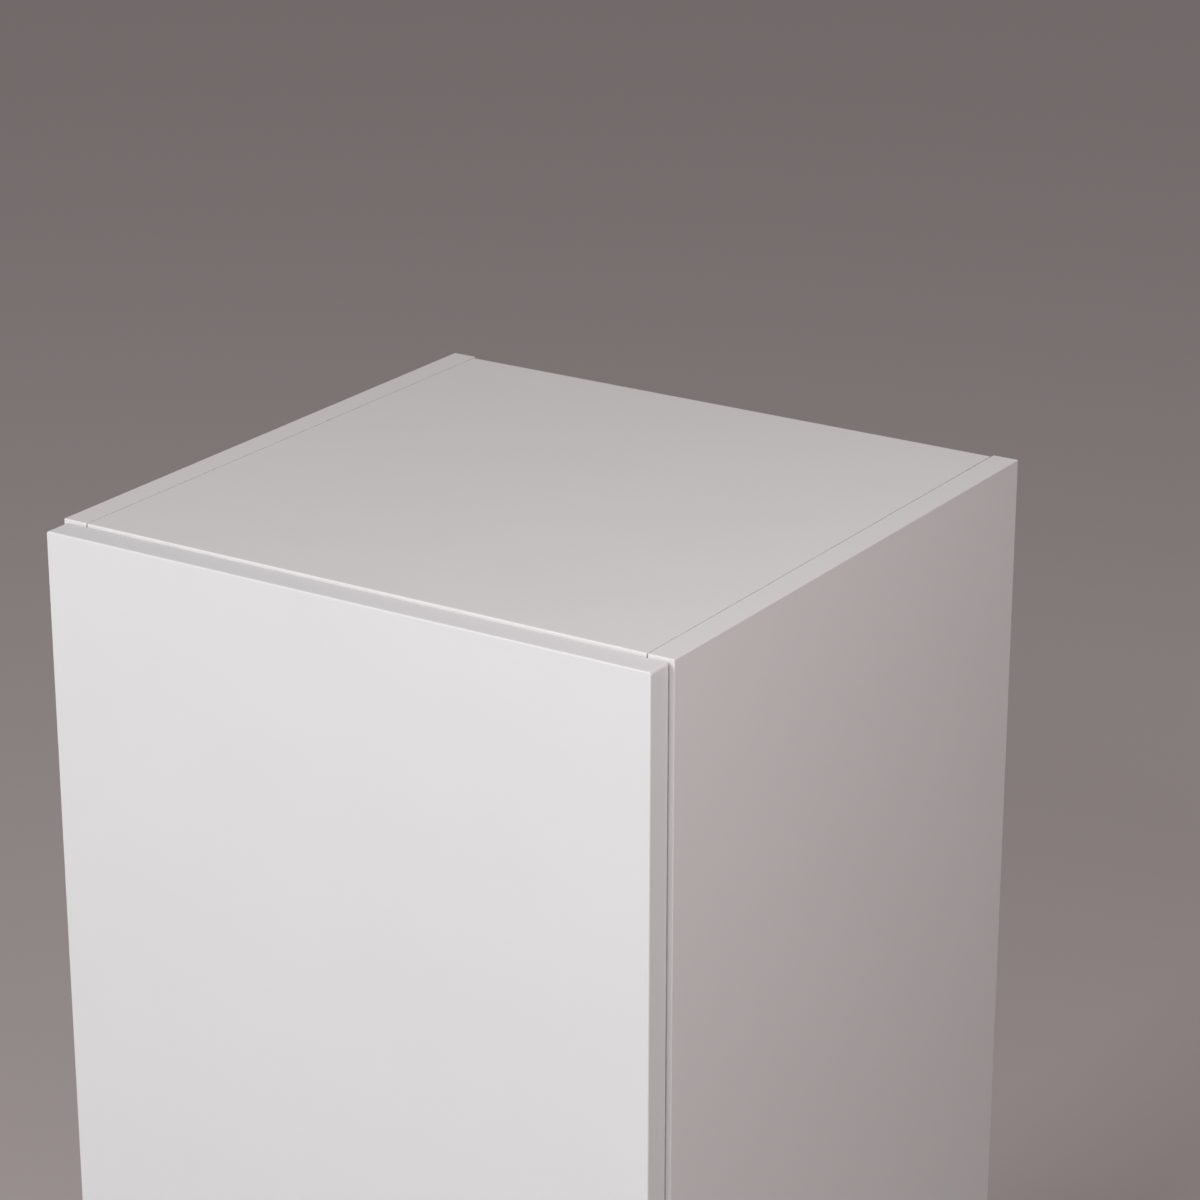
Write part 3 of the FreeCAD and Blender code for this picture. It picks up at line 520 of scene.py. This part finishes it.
# How finely the small pieces are drawn.
ROUND_SIDES = 32
THREAD_STEPS = 6
SCREW_TURNS = 12
BOLT_TURNS = 8
DOME_STEPS = 10
DOWEL_STEPS = 30
COIL_STEPS = 24
WIRE_SIDES = 10
QUAD_CORNERS = 4
MERGE_DISTANCE = 0.000001
SHARP_ANGLE = math.radians(35)

# Where a dome starts, as a share of its height, and the share of its squared radius that is lost at the top.
HEAD_DOME = (0.4, 0.36)
COVER_DOME = (0.45, 0.2)
BUMPER_DOME = (0.15, 0.6)

# A screw's cross recess, as shares of its head's radius and height.
RECESS_REACH = 0.6
RECESS_WIDTH = 0.26
RECESS_DEPTH = 0.6
RECESS_TOP = 1.5

# How far joined solids run into each other: shares of a head's and a cover's height, and metres in a bolt.
SHANK_OVERLAP = 0.1
STEM_OVERLAP = 0.3
BOLT_OVERLAP = 0.0002

# Radii of a cam bolt, as shares of its head's radius, and the number of flutes on a dowel.
BOLT_THREAD_SHARE = 0.75
BOLT_SHANK_SHARE = 0.9
BOLT_NECK_SHARE = 0.6
FLUTES = 16


class Shape(Graph):
    """A Geometry Nodes tree that sets one solid, drawn along Z, on every point it is given"""

    def __init__(self, name, *sizes):
        super().__init__(bpy.data.node_groups.new(name, "GeometryNodeTree"))
        interface = self.tree.interface
        interface.new_socket("Points", in_out="INPUT", socket_type="NodeSocketGeometry")
        for size in sizes:
            socket = interface.new_socket(size, in_out="INPUT", socket_type="NodeSocketFloat")
            socket.subtype = "DISTANCE"
        interface.new_socket("Finish", in_out="INPUT", socket_type="NodeSocketMaterial")
        interface.new_socket("Solids", in_out="OUTPUT", socket_type="NodeSocketGeometry")
        self.given = self.add("NodeGroupInput").outputs

    def middle(self, low, high):
        return self.math("MULTIPLY", self.math("ADD", low, high), 0.5)

    def raised(self, mesh, height):
        lift = self.add("ShaderNodeCombineXYZ", Z=height).outputs[0]
        return self.add("GeometryNodeTransform", Geometry=mesh, Translation=lift).outputs[0]

    def rod(self, radius, low, high, steps=1):
        """A cylinder between two heights, with rings for a later change of its radius"""
        depth = self.math("SUBTRACT", high, low)
        sizes = {"Vertices": ROUND_SIDES, "Side_Segments": steps, "Radius": radius, "Depth": depth}
        mesh = self.add("GeometryNodeMeshCylinder", **sizes).outputs["Mesh"]
        return self.raised(mesh, self.middle(low, high))

    def turned(self, mesh, radius_share):
        """Change a rod's radius; the share comes from each point's place"""
        spot = self.add("GeometryNodeInputPosition").outputs[0]
        x, y, z = self.add("ShaderNodeSeparateXYZ", Vector=spot).outputs
        factor = radius_share(x, y, z)
        sides = [self.math("MULTIPLY", value, factor) for value in (x, y)]
        moved = self.add("ShaderNodeCombineXYZ", X=sides[0], Y=sides[1], Z=z).outputs[0]
        return self.add("GeometryNodeSetPosition", Geometry=mesh, Position=moved).outputs[0]

    def domed(self, radius, high, start, drop):
        """A rod from zero whose upper end rounds in; start and drop are the two shares of a dome"""
        begin = self.math("MULTIPLY", high, start)

        def dome(x, y, z):
            loss = self.math("MULTIPLY", drop, self.square(self.ramp(z, begin, high)))
            return self.math("SQRT", self.math("SUBTRACT", 1.0, loss))

        return self.turned(self.rod(radius, 0.0, high, DOME_STEPS), dome)

    def square(self, value):
        return self.math("MULTIPLY", value, value)

    def threaded(self, radius, depth, pitch, low, high, turns):
        """A rod with a helical thread cut into it"""

        def thread(x, y, z):
            angle = self.math("DIVIDE", self.math("ARCTAN2", y, x), math.tau)
            wave = self.math("PINGPONG", self.math("ADD", self.math("DIVIDE", z, pitch), angle), 0.5)
            loss = self.math("DIVIDE", self.math("MULTIPLY", depth, wave), radius)
            return self.math("SUBTRACT", 1.0, self.math("MULTIPLY", loss, 2.0))

        return self.turned(self.rod(radius, low, high, turns * THREAD_STEPS), thread)

    def box(self, width, breadth, low, high):
        height = self.math("SUBTRACT", high, low)
        size = self.add("ShaderNodeCombineXYZ", X=width, Y=breadth, Z=height).outputs[0]
        mesh = self.add("GeometryNodeMeshCube", Size=size).outputs["Mesh"]
        return self.raised(mesh, self.middle(low, high))

    def combined(self, operation, meshes, **first):
        settings = {"operation": operation, "solver": "MANIFOLD"}
        node = self.add("GeometryNodeMeshBoolean", settings, **first)
        for mesh in meshes:
            self.tree.links.new(mesh, node.inputs["Mesh 2"])
        return node.outputs["Mesh"]

    def union(self, *meshes):
        return self.combined("UNION", meshes)

    def cut(self, mesh, *tools):
        return self.combined("DIFFERENCE", tools, Mesh_1=mesh)

    def finish(self, solid):
        """Set the solid on the points, each turned by its own attribute, and give it its finish"""
        turn_of = self.add("GeometryNodeInputNamedAttribute", {"data_type": "FLOAT_VECTOR"}, Name="turn")
        facing = self.add("FunctionNodeEulerToRotation", Euler=turn_of.outputs["Attribute"]).outputs[0]
        points = self.given["Points"]
        spots = self.add("GeometryNodeInstanceOnPoints", Points=points, Instance=solid, Rotation=facing)
        real = self.add("GeometryNodeRealizeInstances", Geometry=spots.outputs[0])
        done = self.add("GeometryNodeSetMaterial", Geometry=real.outputs[0], Material=self.given["Finish"])
        self.add("NodeGroupOutput", Solids=done.outputs[0])
        return self.tree


def pan_screw():
    """Domed head with a cross recess above the seat at zero, threaded shank below it"""
    sizes = ("Head radius", "Head height", "Shank radius", "Shank length")
    shape = Shape("pan_screw", *sizes, "Thread pitch", "Thread depth")
    given = shape.given
    top = given["Head height"]
    radius = given["Head radius"]
    head = shape.domed(radius, top, *HEAD_DOME)
    bottom = shape.math("MULTIPLY", given["Shank length"], -1.0)
    overlap = shape.math("MULTIPLY", top, SHANK_OVERLAP)
    thread = (given["Thread depth"], given["Thread pitch"])
    shank = shape.threaded(given["Shank radius"], *thread, bottom, overlap, SCREW_TURNS)
    reach = shape.math("MULTIPLY", radius, 2 * RECESS_REACH)
    width = shape.math("MULTIPLY", radius, RECESS_WIDTH)
    floor = shape.math("MULTIPLY", top, 1.0 - RECESS_DEPTH)
    above = shape.math("MULTIPLY", top, RECESS_TOP)
    slots = [shape.box(reach, width, floor, above), shape.box(width, reach, floor, above)]
    return shape.finish(shape.cut(shape.union(head, shank), *slots))


def cam_cap():
    """Domed disc above zero with a stem below it"""
    shape = Shape("cam_cap", "Radius", "Thickness", "Stem radius", "Stem length")
    given = shape.given
    top = given["Thickness"]
    disc = shape.domed(given["Radius"], top, *COVER_DOME)
    bottom = shape.math("MULTIPLY", given["Stem length"], -1.0)
    stem = shape.rod(given["Stem radius"], bottom, shape.math("MULTIPLY", top, STEM_OVERLAP))
    return shape.finish(shape.union(disc, stem))


def soft_dome():
    """Round bumper: flat below, domed above"""
    shape = Shape("soft_dome", "Radius", "Height")
    given = shape.given
    return shape.finish(shape.domed(given["Radius"], given["Height"], *BUMPER_DOME))


def fluted_dowel():
    """Straight dowel about zero with flutes along it and chamfered ends"""
    shape = Shape("fluted_dowel", "Radius", "Length", "Flute depth", "Chamfer")
    given = shape.given
    half = shape.math("MULTIPLY", given["Length"], 0.5)

    def profile(x, y, z):
        angle = shape.math("ARCTAN2", y, x)
        wave = shape.math("PINGPONG", shape.math("MULTIPLY", angle, FLUTES / math.pi), 1.0)
        flute = shape.math("MULTIPLY", given["Flute depth"], wave)
        inset = shape.math("SUBTRACT", half, shape.math("ABSOLUTE", z))
        chamfer = shape.math("MAXIMUM", shape.math("SUBTRACT", given["Chamfer"], inset), 0.0)
        loss = shape.math("ADD", flute, chamfer)
        return shape.math("SUBTRACT", 1.0, shape.math("DIVIDE", loss, given["Radius"]))

    rod = shape.rod(given["Radius"], shape.math("MULTIPLY", half, -1.0), half, DOWEL_STEPS)
    return shape.finish(shape.turned(rod, profile))


def cam_bolt():
    """Bolt along Z: thread above zero, shank, neck and head below it"""
    sizes = ("Thread radius", "Thread length", "Shank radius", "Shank length", "Neck radius", "Neck length")
    shape = Shape("cam_bolt", *sizes, "Head radius", "Head length", "Thread pitch", "Thread depth")
    given = shape.given
    neck_top = shape.math("MULTIPLY", given["Shank length"], -1.0)
    head_top = shape.math("SUBTRACT", neck_top, given["Neck length"])
    bottom = shape.math("SUBTRACT", head_top, given["Head length"])
    rise = (given["Thread depth"], given["Thread pitch"])
    ends = (-BOLT_OVERLAP, given["Thread length"])
    thread = shape.threaded(given["Thread radius"], *rise, *ends, BOLT_TURNS)
    shank = shape.rod(given["Shank radius"], neck_top, 0.0)
    neck_low = shape.math("SUBTRACT", head_top, BOLT_OVERLAP)
    neck_high = shape.math("ADD", neck_top, BOLT_OVERLAP)
    neck = shape.rod(given["Neck radius"], neck_low, neck_high)
    head = shape.rod(given["Head radius"], bottom, head_top)
    return shape.finish(shape.union(thread, shank, neck, head))


def wire_coil():
    """Compression spring about zero"""
    shape = Shape("wire_coil", "Radius", "Length", "Wire", "Pitch")
    given = shape.given
    wire_radius = shape.math("MULTIPLY", given["Wire"], 0.5)
    middle = shape.math("SUBTRACT", given["Radius"], wire_radius)
    height = shape.math("SUBTRACT", given["Length"], given["Wire"])
    spiral = shape.add(
        "GeometryNodeCurveSpiral",
        Resolution=COIL_STEPS,
        Rotations=shape.math("DIVIDE", height, given["Pitch"]),
        Start_Radius=middle,
        End_Radius=middle,
        Height=height,
    )
    section = shape.add("GeometryNodeCurvePrimitiveCircle", Resolution=WIRE_SIDES, Radius=wire_radius)
    curves = {"Curve": spiral.outputs[0], "Profile_Curve": section.outputs[0]}
    wire = shape.add("GeometryNodeCurveToMesh", **curves, Fill_Caps=True).outputs[0]
    return shape.finish(shape.raised(wire, shape.math("MULTIPLY", height, -0.5)))


def solid_boxes(node):
    """Lowest and highest corner of each separate solid of a CAD node"""
    mesh = bmesh.new()
    mesh.from_mesh(frame["nodes"][node].data)
    bmesh.ops.remove_doubles(mesh, verts=mesh.verts, dist=MERGE_DISTANCE)
    left = set(mesh.verts)
    boxes = []
    for first in mesh.verts:
        if first not in left:
            continue
        left.remove(first)
        found = [first]
        for vertex in found:
            for edge in vertex.link_edges:
                other = edge.other_vert(vertex)
                if other in left:
                    left.remove(other)
                    found.append(other)
        columns = list(zip(*[vertex.co for vertex in found]))
        boxes.append((Vector(map(min, columns)), Vector(map(max, columns))))
    mesh.free()
    return boxes


def split_faces(mesh):
    """Split faces of many corners into triangles here, so that no later split folds one back on itself"""
    work = bmesh.new()
    work.from_mesh(mesh)
    many = [face for face in work.faces if len(face.verts) > QUAD_CORNERS]
    bmesh.ops.triangulate(work, faces=many)
    work.to_mesh(mesh)
    work.free()


def grow(node, tree, spots, finish, **sizes):
    """Run a tree on spots, each a place and a facing, and keep a plain mesh in the CAD node's stead"""
    record = frame["record"]
    points = bpy.data.meshes.new(node)
    points.from_pydata([spot for spot, facing in spots], [], [])
    turns = points.attributes.new("turn", "FLOAT_VECTOR", "POINT")
    for item, (spot, facing) in zip(turns.data, spots):
        item.vector = Vector(facing).to_track_quat("Z", "Y").to_euler()
    piece = bpy.data.objects.new(f"{node}_detail", points)
    bpy.context.scene.collection.objects.link(piece)
    modifier = piece.modifiers.new("grow", "NODES")
    modifier.node_group = tree
    values = {name.replace("_", " "): value for name, value in sizes.items()}
    values["Finish"] = finish
    for socket in tree.interface.items_tree:
        if socket.in_out == "INPUT" and socket.name in values:
            modifier[socket.identifier] = values[socket.name]
    evaluated = piece.evaluated_get(bpy.context.evaluated_depsgraph_get())
    mesh = bpy.data.meshes.new_from_object(evaluated)
    piece.modifiers.clear()
    piece.data = mesh
    split_faces(mesh)
    mesh.shade_smooth()
    mesh.set_sharp_from_angle(angle=SHARP_ANGLE)
    if not mesh.polygons:
        raise RuntimeError(f"{node}: the tree made nothing")
    body = next(name for name, nodes in record["behaviour"]["bodies"].items() if node in nodes)
    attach(piece, body)
    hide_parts(node)


# Each screw node's kind in the settings, and the way its heads face.
SCREWS = {
    "hinge_plate_screws": ("plate_screw", (1, 0, 0)),
    "hinge_clamp_screws": ("clamp_screw", (1, 0, 0)),
    "hinge_adjusting_screws": ("adjusting_screw", (1, 0, 0)),
    "hinge_cup_screws": ("cup_screw", (0, 1, 0)),
    "latch_screws": ("latch_screw", (-1, 0, 0)),
    "strike_screw": ("strike_screw", (0, 1, 0)),
    "hanger_depth_screws": ("hanger_screw", (0, -1, 0)),
    "hanger_height_screws": ("hanger_screw", (0, -1, 0)),
}


class CABINET_OT_screws(bpy.types.Operator):
    """Pan-headed screws of the hinges, the latch and the hangers"""

    bl_idname = "cabinet.screws"
    bl_label = "Screws"

    def execute(self, context):
        settings = context.scene.cabinet_small_pieces
        tree = pan_screw()
        for node, (kind, facing) in SCREWS.items():
            head_height, shank_radius = getattr(settings, kind)
            facing = Vector(facing)
            spots = []
            for low, high in solid_boxes(node):
                middle = (low + high) / 2
                size = high - low
                length_along = abs(size.dot(facing))
                spots.append((middle + facing * (length_along / 2 - head_height), facing))
            grow(
                node,
                tree,
                spots,
                bpy.data.materials["zinc_plate"],
                Head_radius=size.z / 2,
                Head_height=head_height,
                Shank_radius=shank_radius,
                Shank_length=length_along - head_height,
                Thread_pitch=settings.thread_pitch,
                Thread_depth=settings.thread_depth,
            )
        return {"FINISHED"}


class CABINET_OT_joinery(bpy.types.Operator):
    """Cam covers, cam bolts and dowels of the corner joints"""

    bl_idname = "cabinet.joinery"
    bl_label = "Corner joints"

    def execute(self, context):
        settings = context.scene.cabinet_small_pieces
        middle_z = (cad_low.z + cad_high.z) / 2
        covers = []
        for low, high in solid_boxes("cam_covers"):
            above = low.z > middle_z
            facing = Vector((0, 0, -1 if above else 1))
            seat = low.z + settings.cover_thickness if above else high.z - settings.cover_thickness
            covers.append((((low.x + high.x) / 2, (low.y + high.y) / 2, seat), facing))
        grow(
            "cam_covers",
            cam_cap(),
            covers,
            bpy.data.materials["white_moulding"],
            Radius=(high.x - low.x) / 2,
            Thickness=settings.cover_thickness,
            Stem_radius=settings.cover_stem,
            Stem_length=high.z - low.z - settings.cover_thickness,
        )
        boxes = solid_boxes("dowels")
        low, high = boxes[0]
        grow(
            "dowels",
            fluted_dowel(),
            [((start + end) / 2, (1, 0, 0)) for start, end in boxes],
            bpy.data.materials["beech_dowel"],
            Radius=(high.z - low.z) / 2,
            Length=high.x - low.x,
            Flute_depth=settings.flute_depth,
            Chamfer=settings.dowel_chamfer,
        )
        bolts = []
        for low, high in solid_boxes("cam_bolts"):
            right = low.x > 0
            face = high.x - settings.bolt_thread if right else low.x + settings.bolt_thread
            place_of_bolt = (face, (low.y + high.y) / 2, (low.z + high.z) / 2)
            bolts.append((place_of_bolt, (1 if right else -1, 0, 0)))
        head_radius = (high.z - low.z) / 2
        used = settings.bolt_thread + settings.bolt_neck + settings.bolt_head
        grow(
            "cam_bolts",
            cam_bolt(),
            bolts,
            bpy.data.materials["zinc_plate"],
            Thread_radius=head_radius * BOLT_THREAD_SHARE,
            Thread_length=settings.bolt_thread,
            Shank_radius=head_radius * BOLT_SHANK_SHARE,
            Shank_length=high.x - low.x - used,
            Neck_radius=head_radius * BOLT_NECK_SHARE,
            Neck_length=settings.bolt_neck,
            Head_radius=head_radius,
            Head_length=settings.bolt_head,
            Thread_pitch=settings.thread_pitch,
            Thread_depth=settings.thread_depth,
        )
        return {"FINISHED"}


class CABINET_OT_bumpers(bpy.types.Operator):
    """Soft bumpers on the back of the door"""

    bl_idname = "cabinet.bumpers"
    bl_label = "Door bumpers"

    def execute(self, context):
        boxes = solid_boxes("door_bumpers")
        spots = [(((low.x + high.x) / 2, low.y, (low.z + high.z) / 2), (0, 1, 0)) for low, high in boxes]
        low, high = boxes[0]
        rubber = bpy.data.materials["clear_bumper"]
        grow("door_bumpers", soft_dome(), spots, rubber, Radius=(high.x - low.x) / 2, Height=high.y - low.y)
        return {"FINISHED"}


class CABINET_OT_spring(bpy.types.Operator):
    """Coil spring behind the latch's plunger"""

    bl_idname = "cabinet.spring"
    bl_label = "Latch spring"

    def execute(self, context):
        settings = context.scene.cabinet_small_pieces
        low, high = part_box("latch_spring")
        grow(
            "latch_spring",
            wire_coil(),
            [((low + high) / 2, (0, 1, 0))],
            bpy.data.materials["zinc_plate"],
            Radius=(high.x - low.x) / 2,
            Length=high.y - low.y,
            Wire=settings.spring_wire,
            Pitch=settings.spring_pitch,
        )
        return {"FINISHED"}


FLOOR_CLOUD_SIZE = 0.9
FLOOR_SHADES = (0.985, 1.0)
FLOOR_ROUGHNESS = 0.9
FLOOR_GLOSS = 0.1
SIGHT_IN_FLOORS = 4


def pale_floor(settings):
    """Floor that keeps the shadow, lifted a little where it is looked at"""
    finish = Finish("pale_floor")
    cloud = finish.noise(FLOOR_CLOUD_SIZE)
    finish.set(Base_Color=finish.blend(cloud, *shades(settings.floor, FLOOR_SHADES)))
    finish.set(Roughness=FLOOR_ROUGHNESS, Specular_IOR_Level=FLOOR_GLOSS)
    finish.set(Emission_Color=opaque(settings.haze), Emission_Strength=finish.seen())
    return finish.material


def soft_box(name, target, spot, size, watts, tint):
    """A square lamp, unseen by the camera, that points at the target"""
    name = f"{name}_lamp"
    data = bpy.data.lights.new(name, "AREA")
    data.shape = "SQUARE"
    data.size = size
    data.energy = watts
    data.color = tint
    lamp = bpy.data.objects.new(name, data)
    lamp.location = spot
    lamp.visible_camera = False
    lamp.rotation_euler = (target - Vector(spot)).to_track_quat("-Z", "Y").to_euler()
    bpy.context.scene.collection.objects.link(lamp)


def even_sky(settings):
    """Soft light from all round, most of it from behind; where it is looked at, the background's colour"""
    world = bpy.data.worlds.new("even_sky")
    world.use_nodes = True
    graph = Graph(world.node_tree)
    direction = graph.add("ShaderNodeTexCoord").outputs["Generated"]
    behind = graph.math("MAXIMUM", graph.add("ShaderNodeSeparateXYZ", Vector=direction).outputs["Y"], 0.0)
    level = graph.math("MULTIPLY_ADD", behind, settings.back_light, 1.0)
    light = graph.add("ShaderNodeBackground", Color=opaque(settings.sky), Strength=level)
    shown = graph.add("ShaderNodeBackground", Color=opaque(settings.horizon))
    mix = graph.add("ShaderNodeMixShader", Fac=graph.seen())
    for socket, shader in zip(mix.inputs[1:], (light, shown)):
        graph.feed(socket, shader.outputs[0])
    graph.add("ShaderNodeOutputWorld", Surface=mix.outputs[0])
    return world


class CABINET_OT_stage(bpy.types.Operator):
    """Plain floor, soft lamps and the camera"""

    bl_idname = "cabinet.stage"
    bl_label = "Stage and camera"

    def execute(self, context):
        settings = context.scene.cabinet_stage
        scene = context.scene
        half = settings.floor_half_width
        corners = [(-half, -half), (half, -half), (half, half), (-half, half)]
        mesh = bpy.data.meshes.new("floor")
        mesh.from_pydata([(x, y, cad_low.z) for x, y in corners], [], [(0, 1, 2, 3)])
        mesh.materials.append(pale_floor(settings))
        floor = bpy.data.objects.new("floor", mesh)
        scene.collection.objects.link(floor)
        target = (cad_low + cad_high) / 2
        for lamp in LAMPS:
            soft_box(lamp, target, *(getattr(settings, f"{lamp}_{part}") for part in LAMP_PARTS))
        scene.world = even_sky(settings)
        data = bpy.data.cameras.new("camera")
        data.sensor_width = SENSOR_WIDTH
        data.lens = settings.focal_pixels / PICTURE_PIXELS * SENSOR_WIDTH
        data.clip_end = SIGHT_IN_FLOORS * half
        camera = bpy.data.objects.new("camera", data)
        aim = Matrix.Rotation(settings.yaw, 4, "Z") @ Matrix.Rotation(math.pi / 2 - settings.pitch, 4, "X")
        camera.matrix_world = Matrix.Translation(settings.eye) @ aim @ Matrix.Rotation(settings.roll, 4, "Z")
        scene.collection.objects.link(camera)
        scene.camera = camera
        scene.view_settings.view_transform = "Standard"
        return {"FINISHED"}


class CABINET_PT_sidebar(bpy.types.Panel):
    """Steps of the dressing, in order"""

    bl_label = "Wall cabinet"
    bl_idname = "CABINET_PT_sidebar"
    bl_space_type = "VIEW_3D"
    bl_region_type = "UI"
    bl_category = "Cabinet"

    def draw(self, context):
        for operator in OPERATORS:
            self.layout.operator(operator.bl_idname)
        for group in SETTINGS:
            settings = getattr(context.scene, group)
            for name in settings.__annotations__:
                self.layout.prop(settings, name)


OPERATORS = (
    CABINET_OT_boards,
    CABINET_OT_fittings,
    CABINET_OT_screws,
    CABINET_OT_joinery,
    CABINET_OT_bumpers,
    CABINET_OT_spring,
    CABINET_OT_stage,
)
SETTINGS = {
    "cabinet_boards": BoardFinish,
    "cabinet_fittings": FittingFinish,
    "cabinet_small_pieces": SmallPieceSizes,
    "cabinet_stage": StageSizes,
}


def register():
    for kind in (*SETTINGS.values(), *OPERATORS, CABINET_PT_sidebar):
        bpy.utils.register_class(kind)
    for name, group in SETTINGS.items():
        setattr(bpy.types.Scene, name, PointerProperty(type=group))


def unregister():
    for name in SETTINGS:
        delattr(bpy.types.Scene, name)
    for kind in (CABINET_PT_sidebar, *reversed(OPERATORS), *SETTINGS.values()):
        bpy.utils.unregister_class(kind)


def main():
    register()
    bpy.ops.cabinet.boards()
    bpy.ops.cabinet.fittings()
    bpy.ops.cabinet.screws()
    bpy.ops.cabinet.joinery()
    bpy.ops.cabinet.bumpers()
    bpy.ops.cabinet.spring()
    bpy.ops.cabinet.stage()


if __name__ == "__main__":
    main()
